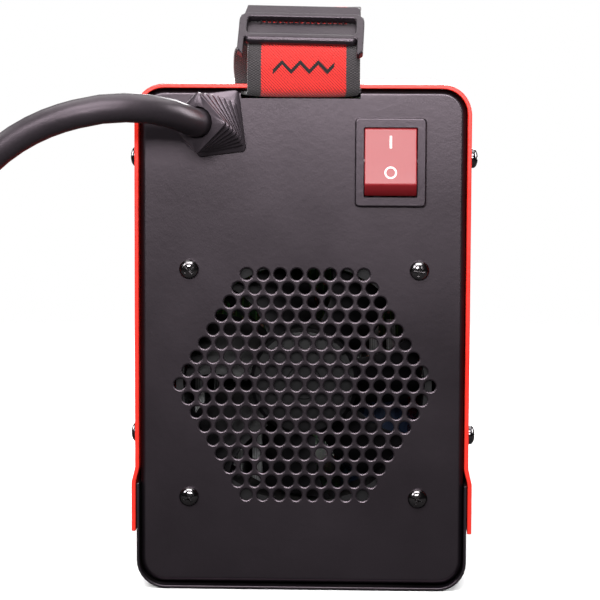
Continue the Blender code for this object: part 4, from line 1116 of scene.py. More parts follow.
@dataclass
class Fan:
    """Fan impeller with seven curved blades on a cupped hub."""

    paints: Paintbox
    rear_y: float = -0.1358
    hub_radius: float = 0.0195
    tip_radius: float = 0.0420
    blades: int = 7

    def impeller(self) -> None:
        """Hub cup and blades, turning about the fan's axis."""
        place = Matrix.Translation((FAN_X, self.rear_y + 0.0030, FAN_Z)) @ REARWARD
        hub = Workpiece()
        profile = [(0.0, 0.0), (0.0060, 0.0), (0.0063, -0.0003), (0.0166, -0.0003),
                   (0.0182, -0.0006), (self.hub_radius, -0.0022), (self.hub_radius, -0.0165),
                   (0.0180, -0.0165), (0.0180, -0.0018), (0.0, -0.0018)]
        hub.lathe(profile, place, 64)
        impeller = hub.object("impeller_rotor", 30)
        blades = [self._blade(place, TAU * index / self.blades) for index in range(self.blades)]
        combine(impeller, blades, Cut.ONTO, 30)
        settle(impeller, self.paints["fan_plastic"], ["fan_impeller"], "fan")

    def _blade(self, place: Matrix, angle: float) -> Workpiece:
        """One cambered blade, twisted from root to tip."""
        root = self.hub_radius - 0.0008
        reach = self.tip_radius - root
        piece = Workpiece()
        sections = []
        for step in range(9):
            share = step / 8
            pitch = math.radians(44 - 12 * share)
            chord = 0.0240 + 0.0040 * share
            section = []
            for side in (1, -1):
                for stop in range(9):
                    along = (stop / 8 if side > 0 else 1 - stop / 8) - 0.5
                    camber = 0.0016 * (1 - 4 * along * along)
                    thick = 0.0006 * (1 - 3.2 * along * along) + 0.00012
                    flat = Vector((0.0, along * chord, camber + side * thick))
                    turned = Matrix.Rotation(pitch, 3, "X") @ flat
                    turned.z = min(0.0080, max(-0.0075, turned.z)) - 0.0088
                    sweep = math.radians(10) * share * share
                    out = Vector((root + reach * share, turned.y, turned.z))
                    section.append(Matrix.Rotation(sweep, 3, "Z") @ out)
            sections.append(section)
        piece.loft(sections)
        piece.move(place @ Matrix.Rotation(angle, 4, "Z"))
        return piece


# ---------------------------------------------------------------------- mains switch


@dataclass
class MainsSwitch:
    """Rocker switch: housing with its bezel, the red rocker and its two printed marks."""

    paints: Paintbox
    x: float = SWITCH_X
    z: float = SWITCH_Z
    bezel_face: float = -0.1396
    bezel_width: float = 0.0254
    bezel_height: float = 0.0316
    opening_width: float = 0.0192
    opening_height: float = 0.0250
    pivot_y: float = -0.1316
    pin_radius: float = 0.0015
    rocker_radius: float = 0.0141
    rocker_face: float = 0.01005
    tilt: float = math.radians(12)

    def housing(self) -> None:
        """Bezel and body round the rocker's opening."""
        piece = Workpiece()
        middle = Matrix.Translation((self.x, self.bezel_face + 0.0010, self.z)) @ REARWARD
        piece.prism(rounded_rectangle(self.bezel_width, self.bezel_height, 0.0016), 0.0020, middle)
        front = [edge for edge in piece.bm.edges
                 if all(vert.co.y < self.bezel_face + 1e-6 for vert in edge.verts)]
        piece.round_edges(front, 0.0006, 4)
        housing = piece.object("switch_bezel", 30)
        body = Workpiece()
        body.block((0.0220, 0.0220, 0.0296), (self.x, self.bezel_face + 0.0125, self.z), 0.0004)
        combine(housing, [body], Cut.ONTO)
        opening, pocket = Workpiece(), Workpiece()
        opening.block((self.opening_width, 0.010, self.opening_height),
                      (self.x, self.bezel_face, self.z), 0.0005, 3)
        pocket.block((self.opening_width, 0.0142, 0.0287),
                     (self.x, self.bezel_face + 0.0077, self.z))
        combine(housing, [opening, pocket, self._pin_bore(0.0105)], smooth=30)
        flatten(housing)
        settle(housing, self.paints["switch_plastic"], ["switch_housing"])

    def _pin_bore(self, reach: float) -> Workpiece:
        """Cutter for the hinge pin, reaching this far to both sides."""
        bore = Workpiece()
        bore.rod((self.x - reach, self.pivot_y, self.z), (self.x + reach, self.pivot_y, self.z),
                 self.pin_radius)
        return bore

    def _rocker_place(self) -> Matrix:
        """From the rocker's side view, with its face up, to its resting place."""
        side_view = Matrix(((0, 0, 1, 0), (0, -1, 0, 0), (1, 0, 0, 0), (0, 0, 0, 1)))
        tilted = Matrix.Rotation(-self.tilt, 4, "Z")
        return Matrix.Translation((self.x, self.pivot_y, self.z)) @ side_view @ tilted

    def rocker(self) -> None:
        """The rocker, with its top pressed in."""
        face_angle = math.acos(self.rocker_face / self.rocker_radius)
        right = []
        for step in range(13):
            angle = face_angle + (math.radians(70) - face_angle) * step / 12
            right.append((self.rocker_radius * math.sin(angle),
                          self.rocker_radius * math.cos(angle)))
        right += [(0.0124, 0.0012), (0.0080, -0.0020), (0.0030, -0.0042)]
        outline = right + [(-along, out) for along, out in reversed(right)]
        piece = Workpiece()
        piece.prism(outline, self.opening_width - 0.0006, self._rocker_place())
        rocker = piece.object("rocker_cap", 25)
        combine(rocker, [self._pin_bore(0.02)], smooth=25)
        soften(rocker, 0.00045, 3, 25)
        settle(rocker, self.paints["rocker_red"], ["power_rocker"], "rocker")

    def marks(self) -> None:
        """The printed bar and ring on the rocker's face."""
        side_view = self._rocker_place()
        raised = self.rocker_face + 0.00001
        bar = Workpiece()
        bar.block((0.0045, 0.00010, 0.00080), (0.0053, raised, 0), 0.00004, 1)
        bar.move(side_view)
        settle(bar.object("mark_bar"), self.paints["printed_white"], (), "rocker")
        ring = Workpiece()
        profile = [(0.00160, 0.00005), (0.00220, 0.00005), (0.00220, -0.00005), (0.00160, -0.00005)]
        ring.lathe(profile, side_view @ Matrix.Translation((-0.0057, raised, 0))
                   @ Matrix.Rotation(math.radians(-90), 4, "X"), 48)
        settle(ring.object("mark_ring"), self.paints["printed_white"], (), "rocker")


# ---------------------------------------------------------------------- mains lead


@dataclass
class MainsLead:
    """Strain relief, cord, stored coil, tie and plug."""

    paints: Paintbox
    base: Vector = fixed(-0.0322, -0.1376, 0.1680)
    tip: Vector = fixed(-0.0360, -0.1610, 0.1688)
    lean: float = math.radians(20)
    first: Vector = fixed(-0.0297, -0.1408, 0.1666)
    flange: Vector = fixed(-0.0303, -0.1376, 0.1680)
    flange_width: float = 0.0176
    flange_height: float = 0.0220
    width: float = 0.0155
    ribs: int = 7
    rib: float = 0.0016
    radius: float = 0.0050
    pitch: float = 0.0104
    coil_x: float = -0.1900
    coil_y: float = -0.1290
    coil_mean: float = 0.0550
    coil_base: float = 0.0015
    plug_angle: float = math.radians(30)
    plug_radius: float = 0.0185
    plug_length: float = 0.0420

    @property
    def out(self) -> Vector:
        """Direction in which the cord leaves the boot."""
        return Vector((-math.sin(self.lean), -math.cos(self.lean), 0.0))

    def boot(self) -> None:
        """Square strain relief on a flange, whose ribs turn and lean with the cord."""
        rings = []
        upright = Matrix.Identity(3)
        spin, edge, slim = math.radians(7.3), 0.0003, 0.00022
        for inset, step in ((0.0, 0.0), (0.0, self.rib - edge), (edge, self.rib)):
            rings.append(self._ring(self.flange_width - 2 * inset, self.flange_height - 2 * inset,
                                    0.0016, spin, self.flange + Vector((0, -step, 0)), upright))
        neck = self.width * 0.74
        rings.append(self._ring(neck, neck, 0.0012, spin,
                                self.flange + Vector((0, -self.rib - 0.0001, 0)), upright))
        last = self.tip - self.out * self.rib
        for index in range(self.ribs):
            share = index / (self.ribs - 1)
            spin = math.radians(12 + 32 * share)
            lean = Matrix.Rotation(-self.lean * share, 3, "Z")
            out = lean @ Vector((0, -1, 0))
            start = self.first.lerp(last, share)
            start.z = self.first.z + (last.z - self.first.z) * share ** 0.7
            rings.append(self._ring(neck, neck, 0.0012, spin, start - out * 0.0001, lean))
            for inset, step in ((slim, 0.0), (0.0, slim), (0.0, self.rib - slim), (slim, self.rib)):
                size = self.width - 2 * inset
                rings.append(self._ring(size, size, 0.0013, spin, start + out * step, lean))
            if index < self.ribs - 1:
                rings.append(self._ring(neck, neck, 0.0012, spin,
                                        start + out * (self.rib + 0.0001), lean))
        for size, step in ((0.0114, 0.0), (0.0106, -0.0005), (0.0104, -0.0045)):
            rings.append(self._ring(size, size, size / 2 - 1e-5, spin, self.tip + self.out * step,
                                    lean))
        piece = Workpiece()
        piece.loft(rings)
        boot = piece.object("boot_ribs", 40)
        neck_rod = Workpiece()
        neck_rod.rod(self.base + Vector((0, -0.001, 0)), self.base + Vector((0, 0.0095, 0)),
                     0.0070, 32)
        combine(boot, [neck_rod], Cut.ONTO, 40)
        settle(boot, self.paints["boot_rubber"], ["cord_boot"])

    @staticmethod
    def _ring(width: float, height: float, radius: float, spin: float, centre: Vector,
              lean: Matrix) -> list[Vector]:
        """One ring of the boot: a rectangle with round corners, turned and leant."""
        turn = Matrix.Rotation(spin, 2)
        ring = []
        for point in rounded_rectangle(width, height, radius, 4):
            spun = turn @ point
            ring.append(centre + lean @ Vector((spun.x, 0.0, spun.y)))
        return ring

    def route(self) -> list[Vector]:
        """Centre line of the whole cord: free run, coil and the way into the plug."""
        top = self.coil_base + 3 * self.pitch + 0.0003 + self.radius
        free = [tuple(self.tip - self.out * 0.0040), tuple(self.tip + self.out * 0.0004),
                tuple(self.tip + self.out * 0.0030),
                (-0.0391, -0.1687, 0.1700), (-0.0442, -0.1752, 0.1722), (-0.0508, -0.1805, 0.1737),
                (-0.0584, -0.1844, 0.1742), (-0.0665, -0.1866, 0.1737), (-0.0750, -0.1872, 0.1720),
                (-0.0850, -0.1868, 0.1688), (-0.0955, -0.1859, 0.1634), (-0.1055, -0.1847, 0.1556),
                (-0.1145, -0.1833, 0.1452), (-0.1222, -0.1819, 0.1325), (-0.1285, -0.1805, 0.1180),
                (-0.1333, -0.1790, 0.1020), (-0.1366, -0.1765, 0.0850), (-0.1386, -0.1705, 0.0680),
                (-0.1397, -0.1600, 0.0535), (-0.1402, -0.1462, 0.0425), (-0.1402, -0.1290, top)]
        path = smooth_path(free, 0.006)
        return path + self._turns(top) + self._lead_out()

    def _turns(self, top: float) -> list[Vector]:
        """The coil's turns: three layers of two, each lane a little short of a full turn."""
        lanes = [(-1, 2), (1, 2), (1, 1), (-1, 1), (-1, 0), (1, 0)]
        lane_length, shift = math.radians(300), math.radians(60)
        end = self.plug_angle + 5 * TAU
        steps = 400
        turns = []
        for step in range(1, steps + 1):
            angle = end * step / steps
            lane = int((angle + shift / 2) // lane_length)
            since = (angle + shift / 2) - lane * lane_length
            share = ease(since / shift)
            now = lanes[min(lane, 5)]
            before = lanes[min(max(0, lane - 1), 5)]
            side = before[0] + (now[0] - before[0]) * share
            level = before[1] + (now[1] - before[1]) * share
            reach = self.coil_mean + side * self.pitch / 2
            height = self.coil_base + self.pitch * (level + 0.5)
            settle_down = 1 - ease(angle / math.radians(55))
            turns.append(Vector((self.coil_x + reach * math.cos(angle),
                                 self.coil_y + reach * math.sin(angle),
                                 height + (top - height) * settle_down)))
        return turns

    def _lead_out(self) -> list[Vector]:
        """From the last turn, straight along to the plug."""
        leave = self._leave()
        heading = self.heading
        low = self.coil_base + self.pitch / 2
        rise = self.plug_radius + 0.0003 - low
        return [leave + heading * 0.0045 * step
                + Vector((0, 0, low + rise * ease((step - 2) / 7))) for step in range(1, 11)]

    def _leave(self) -> Vector:
        """Point on the ground plan where the cord leaves the coil."""
        reach = self.coil_mean + self.pitch / 2
        return Vector((self.coil_x + reach * math.cos(self.plug_angle),
                       self.coil_y + reach * math.sin(self.plug_angle), 0.0))

    @property
    def heading(self) -> Vector:
        """Direction of the plug on the ground."""
        return Vector((-math.sin(self.plug_angle), math.cos(self.plug_angle), 0.0))

    def cord(self, plug_pieces: Sequence[bpy.types.Object]) -> None:
        """The cord itself, from inside the boot to inside the plug."""
        path = self.route()
        curve = bpy.data.curves.new("mains_cord", "CURVE")
        curve.dimensions = "3D"
        curve.bevel_depth = self.radius
        curve.bevel_resolution = 6
        curve.use_fill_caps = True
        spline = curve.splines.new("POLY")
        spline.points.add(len(path) - 1)
        for point, place in zip(spline.points, path):
            point.co = (*place, 1.0)
        spline.use_smooth = True
        cord = hang("mains_cord", curve)
        settle(cord, self.paints["cord_rubber"], ["power_cord", "cord_coil"])
        LOG.info("cord is %.3f m long", path_length(path))

    def tie(self) -> bpy.types.Object:
        """Hook-and-loop tie round the stored turns, with its loose end."""
        height = 3 * self.pitch
        middle = Vector((self.coil_x - self.coil_mean, self.coil_y, self.coil_base + height / 2))
        place = Matrix.Translation(middle) @ REARWARD
        width = 2 * self.pitch + 0.0018
        outer = rounded_rectangle(width + 0.0018, height + 0.0022, 0.0040)
        inner = rounded_rectangle(width, height + 0.0006, 0.0031)
        piece, hole = Workpiece(), Workpiece()
        piece.prism(outer, 0.0120, place)
        hole.prism(inner, 0.0200, place)
        tie = piece.object("tie_band", 30)
        combine(tie, [hole], smooth=30)
        flap = Workpiece()
        flap.block((0.0012, 0.0118, 0.0150),
                   middle - Vector((width / 2 + 0.0010, 0, 0.0020)), 0.0005)
        combine(tie, [flap], Cut.ONTO, 30)
        return settle(tie, self.paints["stitch_thread"], ["cord_tie"])

    def plug(self) -> list[bpy.types.Object]:
        """Moulded plug body with grip ribs, and its two pins."""
        start = self._leave() + self.heading * 0.0400 + Vector((0, 0, self.plug_radius + 0.0003))
        turn = self.heading.to_track_quat("Z", "Y").to_matrix().to_4x4()
        place = Matrix.Translation(start) @ turn
        length, radius = self.plug_length, self.plug_radius
        ribs = []
        for index in range(5):
            low = 0.0190 + index * 0.0030
            ribs += [(radius - 0.0009, low), (radius - 0.0009, low + 0.0012),
                     (radius - 0.0002, low + 0.0016), (radius - 0.0002, low + 0.0026)]
        profile = ([(0.0, 0.0), (0.0066, 0.0), (0.0070, 0.0004), (0.0085, 0.0030), (0.0120, 0.0065),
                    (0.0160, 0.0120), (radius, 0.0165)] + ribs
                   + [(radius, 0.0345), (radius, length - 0.0008), (radius - 0.0008, length),
                      (0.0155, length), (0.0152, length - 0.0012), (0.0, length - 0.0012)])
        body = Workpiece()
        body.lathe(profile[::-1], place, 64)
        pieces = [settle(body.object("plug_shell", 30), self.paints["boot_rubber"],
                         ["plug_body"])]
        sideways = Vector((self.heading.y, -self.heading.x, 0.0))
        for index, sign in enumerate((-1, 1), start=1):
            foot = start + self.heading * (length + 0.0003) + sideways * (sign * 0.0095)
            pin = Workpiece()
            pin.lathe([(0.0, 0.0190), (0.0016, 0.0190), (0.0023, 0.0178), (0.0024, 0.0160),
                       (0.0024, 0.0), (0.0, 0.0)], Matrix.Translation(foot) @ turn, 24)
            pieces.append(settle(pin.object(f"plug_prong_{index}", 30), self.paints["nickel"],
                                 [f"plug_pin_{index}"]))
        return pieces


# ---------------------------------------------------------------------- carry strap


@dataclass
class CarryStrap:
    """Woven strap with its buckle: rear loop, low hand arch and sewn front loop."""

    paints: Paintbox
    width: float = 0.0399
    thick: float = 0.0014
    x: float = 0.0003
    inner_x: float = -0.0050
    front_x: float = -0.0026
    origin: Vector = fixed(0.0, -0.1340, 0.2015)
    tilt: float = math.radians(45)
    sag: float = 0.00022
    sag_pitch: float = 0.047
    ripple: float = 0.00006
    ripple_pitch: float = 0.0061
    loop_start: float = 0.1250
    loop_middle: tuple[float, float] = (0.1350, 0.1860)
    curl: float = 0.0009
    curl_top: float = 0.1850

    def buckle_place(self) -> Matrix:
        """From buckle axes (across, along the webbing, out of it) to the machine's."""
        along = Vector((0, math.sin(self.tilt), math.cos(self.tilt)))
        out = Vector((0, -math.cos(self.tilt), math.sin(self.tilt)))
        turn = Matrix((Vector((1, 0, 0)), along, out)).transposed().to_4x4()
        return Matrix.Translation(self.origin) @ turn

    def _on_buckle(self, across: float, along: float, out: float) -> tuple[float, float, float]:
        """A point given in buckle axes."""
        return tuple(self.buckle_place() @ Vector((across, along, out)))

    def route(self) -> list[Vector]:
        """Middle line of the webbing, from the buckle round the rear edge and over to the front."""
        x, inner_x = self.x, self.inner_x
        rear = [self._on_buckle(x, 0.0030, -0.0020), self._on_buckle(-0.0016, -0.0040, -0.0023),
                (-0.0046, -0.1338, 0.1942), (-0.0054, -0.1283, 0.1880), (inner_x, -0.1270, 0.1830),
                (inner_x, -0.1271, 0.1806), (inner_x, -0.1285, 0.1789), (-0.0032, -0.1320, 0.1783),
                (-0.0012, -0.1370, 0.1781), (0.0000, -0.1402, 0.1783), (x, -0.1419, 0.1797),
                (x, -0.1425, 0.1830), (x, -0.1428, 0.1880), (x, -0.1421, 0.1921)]
        rear += [self._on_buckle(x, along, 0.0) for along in (-0.0085, -0.0040, 0.0010, 0.0060)]
        far = self.front_x
        arch = [(x, -0.1240, 0.2086), (x, -0.1120, 0.2091), (-0.0002, -0.0800, 0.2098),
                (-0.0008, -0.0400, 0.2105), (-0.0013, 0.0, 0.2110), (-0.0018, 0.0400, 0.2112),
                (-0.0023, 0.0800, 0.2111), (far, 0.1080, 0.2104)]
        sewn = ((0.1200, 0.2075), (0.1300, 0.2015), (0.1376, 0.1945), (0.1418, 0.1880),
                (0.1426, 0.1830), (0.1419, 0.1797), (0.1402, 0.1783), (0.1370, 0.1781),
                (0.1320, 0.1783), (0.1285, 0.1789), (0.1271, 0.1806), (0.1270, 0.1830),
                (0.1275, 0.1880), (0.1258, 0.1940), (0.1205, 0.2000), (0.1120, 0.2052),
                (0.1010, 0.2079), (0.0880, 0.2085))
        front = [(far, y, z) for y, z in sewn]
        return smooth_path(rear + arch + front, 0.0016)

    def webbing(self) -> None:
        """The strap as one woven band with its own lengthwise map."""
        path = self.route()
        piece = Workpiece()
        columns = 24
        stations = [(-0.5 + column / columns) * self.width for column in range(columns + 1)]
        row = [piece.bm.verts.new(path[0] + Vector((across, 0, 0))) for across in stations]
        edges = [piece.bm.edges.new(pair) for pair in zip(row, row[1:])]
        where = {vert: (across, 0.0) for vert, across in zip(row, stations)}
        travelled = 0.0
        for before, after in zip(path, path[1:]):
            travelled += (after - before).length
            made = bmesh.ops.extrude_edge_only(piece.bm, edges=edges)
            verts = [item for item in made["geom"] if isinstance(item, bmesh.types.BMVert)]
            edges = [item for item in made["geom"] if isinstance(item, bmesh.types.BMEdge)]
            bmesh.ops.translate(piece.bm, vec=after - before, verts=verts)
            for vert in verts:
                where[vert] = (vert.co.x - after.x, travelled)
        layer = piece.bm.loops.layers.uv.new("webbing")
        for face in piece.bm.faces:
            for loop in face.loops:
                loop[layer].uv = where[loop.vert]
        piece.bm.normal_update()
        for vert, (across, along) in where.items():
            self._relax(vert, across, along)
        strap = piece.object("strap_band", 60)
        shell = strap.modifiers.new("thickness", "SOLIDIFY")
        shell.thickness = self.thick
        shell.offset = 0.0
        shell.use_even_offset = True
        round_over(strap, "selvedge", 0.0005, 3, 60)
        motif = self._length_to(path, Vector((self.x, -0.1428, 0.1880)))
        material = Webbing(motif_from=motif - 0.002, motif_to=motif + 0.002).build()
        settle(strap, material, ["carry_strap"])
        self.stitching()

    def _relax(self, vert: bmesh.types.BMVert, across: float, along: float) -> None:
        """Move one point of the smooth band as slack cloth lies.

        The band's edges sag, its face ripples, and in both end loops its edges curl inwards.

        Args:
            vert: The point, with its normal up to date.
            across: Its place across the webbing, from the middle.
            along: Its place along the webbing.
        """
        aside = 2 * across / self.width
        sag = self.sag * math.sin(TAU * along / self.sag_pitch) * aside ** 2
        ripple = self.ripple * math.sin(TAU * along / self.ripple_pitch + 40 * across)
        vert.co += vert.normal * (sag + ripple)
        if abs(vert.co.y) > self.loop_start and vert.co.z < self.curl_top:
            curl = self.curl * ease((self.curl_top - vert.co.z) / 0.0050) * aside ** 4
            loop_y, loop_z = self.loop_middle
            hollow = Vector((0.0, math.copysign(loop_y, vert.co.y), loop_z))
            inward = (hollow - vert.co) * Vector((0, 1, 1))
            vert.co += inward.normalized() * curl

    @staticmethod
    def _length_to(path: Sequence[Vector], place: Vector) -> float:
        """Length along the path to the point nearest a place."""
        nearest = min(range(len(path)), key=lambda index: (path[index] - place).length)
        return path_length(path[:nearest + 1])

    def stitching(self) -> bpy.types.Object:
        """Box-and-cross seam that sews the front end to the arch."""
        top = 0.2111 + self.thick / 2 + 0.00022
        corners = [(-0.0140, 0.0900), (0.0146, 0.0900), (0.0146, 0.1040), (-0.0140, 0.1040)]
        lines = list(zip(corners, corners[1:] + corners[:1]))
        lines += [(corners[0], corners[2]), (corners[1], corners[3])]
        piece = Workpiece()
        for start, end in lines:
            start, end = Vector((*start, top)), Vector((*end, top))
            run = end - start
            count = int(run.length / 0.0028)
            for index in range(count):
                middle = start + run * ((index + 0.5) / count)
                middle.z -= 0.0006 * ease((middle.y - 0.094) / 0.012)
                turn = run.to_track_quat("X", "Z").to_matrix().to_4x4()
                piece.block((0.0022, 0.0006, 0.0004), middle, 0.00018, 1, turn)
        seam = piece.object("strap_seam")
        return settle(seam, self.paints["stitch_thread"])

    def buckle(self) -> None:
        """Ladder buckle: rounded window frame, toothed plate, lifting tab, cheeks and keeper."""
        place = (self.buckle_place() @ Matrix.Translation((-0.0006, 0.0, 0.0))
                 @ Matrix.Rotation(math.radians(-1.5), 4, "Z"))
        piece = Workpiece()
        corners = [(-0.0200, -0.0166), (-0.0222, -0.0146), (-0.0222, 0.0042), (0.0222, 0.0042),
                   (0.0222, -0.0146), (0.0200, -0.0166), (0.0200, -0.0080), (-0.0200, -0.0080)]
        radii = (0.0014, 0.0036, 0.0036, 0.0014, 0.0006, 0.0012, 0.0012)
        outline = fillet(corners + corners[:1], radii, 6)[:-1]
        piece.prism(outline, 0.0030, place @ Matrix.Translation((0, 0, 0.0025)))
        frame = piece.object("buckle_frame", 30)
        window = Workpiece()
        window.prism(rounded_rectangle(0.0386, 0.0085, 0.0018), 0.02,
                     place @ Matrix.Translation((0, -0.0022, 0)))
        combine(frame, [window], smooth=30)
        round_over(frame, "rounded_bars", 0.0010, 5, 50)
        freeze(frame)
        parts = []
        for size, centre, radius in (
                ((0.0388, 0.0072, 0.00095), (0, -0.0021, 0.0011), 0.00025),
                ((0.0396, 0.0042, 0.0034), (0, -0.0075, 0.0023), 0.0015),
                ((0.0430, 0.0045, 0.0020), (0, 0.00125, -0.0046), 0.0006),
                ((0.0019, 0.0055, 0.0088), (-0.0209, 0.00125, -0.0014), 0.0005),
                ((0.0019, 0.0055, 0.0088), (0.0209, 0.00125, -0.0014), 0.0005)):
            bar = Workpiece()
            bar.block(size, centre, radius, 4)
            bar.move(place)
            parts.append(bar)
        tab, teeth = Workpiece(), Workpiece()
        lip = [(-0.0210, 0.0032), (-0.0198, 0.0092), (0.0202, 0.0092), (0.0210, 0.0032)]
        tab.prism(fillet(lip, (0.0003, 0.0014, 0.0014, 0.0003), 4), 0.0016,
                  place @ Matrix.Translation((0, 0, 0.0019)))
        tab.round_edges([edge for edge in tab.bm.edges if edge.calc_face_angle(0.0) > 1.2],
                        0.0005, 3)
        for index in range(16):
            across = (index - 7.5) * 0.00195
            foot = Vector((across, 0.0010, 0.0015))
            teeth.rod(foot, foot + Vector((0, 0.0010, 0.0005)), 0.00055, 8, 0.0001)
        teeth.move(place)
        combine(frame, parts + [tab, teeth], Cut.ONTO, 35)
        flatten(frame)
        settle(frame, self.paints["buckle_plastic"], ["strap_buckle"])


# ---------------------------------------------------------------------- output end


@dataclass
class Controls:
    """Fascia with its dial, current knob and two lamps."""

    paints: Paintbox
    face: float = 0.1373
    front: float = 0.1398
    fascia_z: float = 0.139
    first_tick: float = 225.0
    number_reach: float = 0.0255

    def fascia(self) -> None:
        """Moulded plate with a raised rim and the dial's recess."""
        middle = (self.face + 0.0003 + self.front) / 2
        piece = Workpiece()
        piece.prism(rounded_rectangle(0.100, 0.060, 0.006, 10), self.front - self.face - 0.0003,
                    Matrix.Translation((0, middle, self.fascia_z)) @ FORWARD)
        plate = piece.object("fascia_plate", 30)
        tools = Workpiece()
        tools.prism(rounded_rectangle(0.094, 0.054, 0.004, 10), 0.0008,
                    Matrix.Translation((0, self.front, self.fascia_z)) @ FORWARD)
        holes = Workpiece()
        holes.rod((0, 0.13, KNOB_Z), (0, 0.15, KNOB_Z), 0.0050, 32)
        for side in (-1, 1):
            x = side * LAMP_X
            holes.rod((x, 0.13, LAMP_Z), (x, 0.15, LAMP_Z), 0.0028, 24)
        combine(plate, [tools, holes], smooth=30)
        soften(plate, 0.0003)
        settle(plate, self.paints["fascia_plastic"], ["front_fascia"])

    def dial(self) -> None:
        """Scale of ticks round the knob, growing longer every third, and its numbers."""
        level = self.front - 0.00038
        ticks = Workpiece()
        for index in range(19):
            angle = math.radians(self.first_tick - 15 * index)
            long = index % 3 == 0
            reach = 0.0212 if long else 0.0205
            size = (0.0030 if long else 0.0017, 0.0006, 0.00008)
            place = Vector((-reach * math.cos(angle), level, KNOB_Z + reach * math.sin(angle)))
            turn = FORWARD @ Matrix.Rotation(math.pi + angle, 4, "Z")
            ticks.block(size, place, 0.0, 1, turn)
        settle(ticks.object("dial_ticks"), self.paints["printed_white"])
        for index in range(7):
            angle = math.radians(self.first_tick - 45 * index)
            place = Vector((-self.number_reach * math.cos(angle), level,
                            KNOB_Z + self.number_reach * math.sin(angle)))
            if abs(place.z - self.fascia_z) < 0.026:
                self._number(f"dial_number_{index}", str(10 + 20 * index), place)

    def _number(self, name: str, text: str, place: Vector) -> None:
        """One printed number, made a mesh in its place."""
        curve = bpy.data.curves.new(name, "FONT")
        curve.body, curve.size, curve.extrude = text, 0.0042, 0.00004
        curve.align_x, curve.align_y = "CENTER", "CENTER"
        writer = hang(name, curve)
        mesh = final_mesh(writer)
        bpy.data.objects.remove(writer, do_unlink=True)
        turn = Matrix.Rotation(math.pi, 4, "Z") @ REARWARD
        mesh.transform(Matrix.Translation(place) @ turn)
        settle(hang(name, mesh), self.paints["printed_white"])

    def knob(self) -> None:
        """Fluted knob with a pointer line."""
        base = self.front + 0.0003
        place = Matrix.Translation((0, base, KNOB_Z)) @ FORWARD
        piece = Workpiece()
        profile = [(0.0, 0.0144), (0.0105, 0.0144), (0.0112, 0.0150), (0.0128, 0.0150),
                   (0.0137, 0.0144), (0.0141, 0.0134), (0.0150, 0.0048), (0.0153, 0.0034),
                   (0.0165, 0.0026), (0.0165, 0.0003), (0.0161, 0.0), (0.0, 0.0)]
        piece.lathe(profile, place, 96)
        knob = piece.object("knob_cap", 30)
        flutes = Workpiece()
        for index in range(24):
            angle = TAU * index / 24
            foot = Vector((0.0160 * math.cos(angle), 0.0160 * math.sin(angle), 0.0044))
            top = Vector((0.0149 * math.cos(angle), 0.0149 * math.sin(angle), 0.0170))
            flutes.rod(foot, top, 0.0011, 10)
        flutes.move(place)
        bore = Workpiece()
        bore.rod((0, base - 0.001, KNOB_Z), (0, base + 0.0102, KNOB_Z), 0.0033, 24)
        combine(knob, [flutes, bore], smooth=30)
        flatten(knob)
        settle(knob, self.paints["knob_plastic"], ["current_knob"], "knob")
        line = Workpiece()
        line.block((0.0011, 0.0003, 0.0075), (0, base + 0.01452, KNOB_Z + 0.0063), 0.0001, 1)
        settle(line.object("knob_pointer"), self.paints["printed_white"], (),
               "knob")

    def lamps(self) -> None:
        """Two domed indicator lenses, each in a thin collar."""
        dome = [(0.0025 * math.sin(angle), 0.0022 * math.cos(angle))
                for angle in (math.radians(90 * step / 8) for step in range(9))]
        for color, node, side in (("green", "power_lamp", -1), ("amber", "heat_lamp", 1)):
            name = f"{color}_lens_dome"
            place = Matrix.Translation((side * LAMP_X, self.front, LAMP_Z)) @ FORWARD
            lens = Workpiece()
            lens.lathe(dome + [(0.0025, -0.0070), (0.0, -0.0070)], place, 32)
            settle(lens.object(name, 40), self.paints[f"{color}_lens"], [node])
            collar = Workpiece()
            collar.lathe([(0.0029, 0.0002), (0.0040, 0.0002), (0.0042, -0.0001), (0.0042, -0.0004),
                          (0.0029, -0.0004)], place, 32)
            settle(collar.object(name + "_collar", 40), self.paints["nickel"])


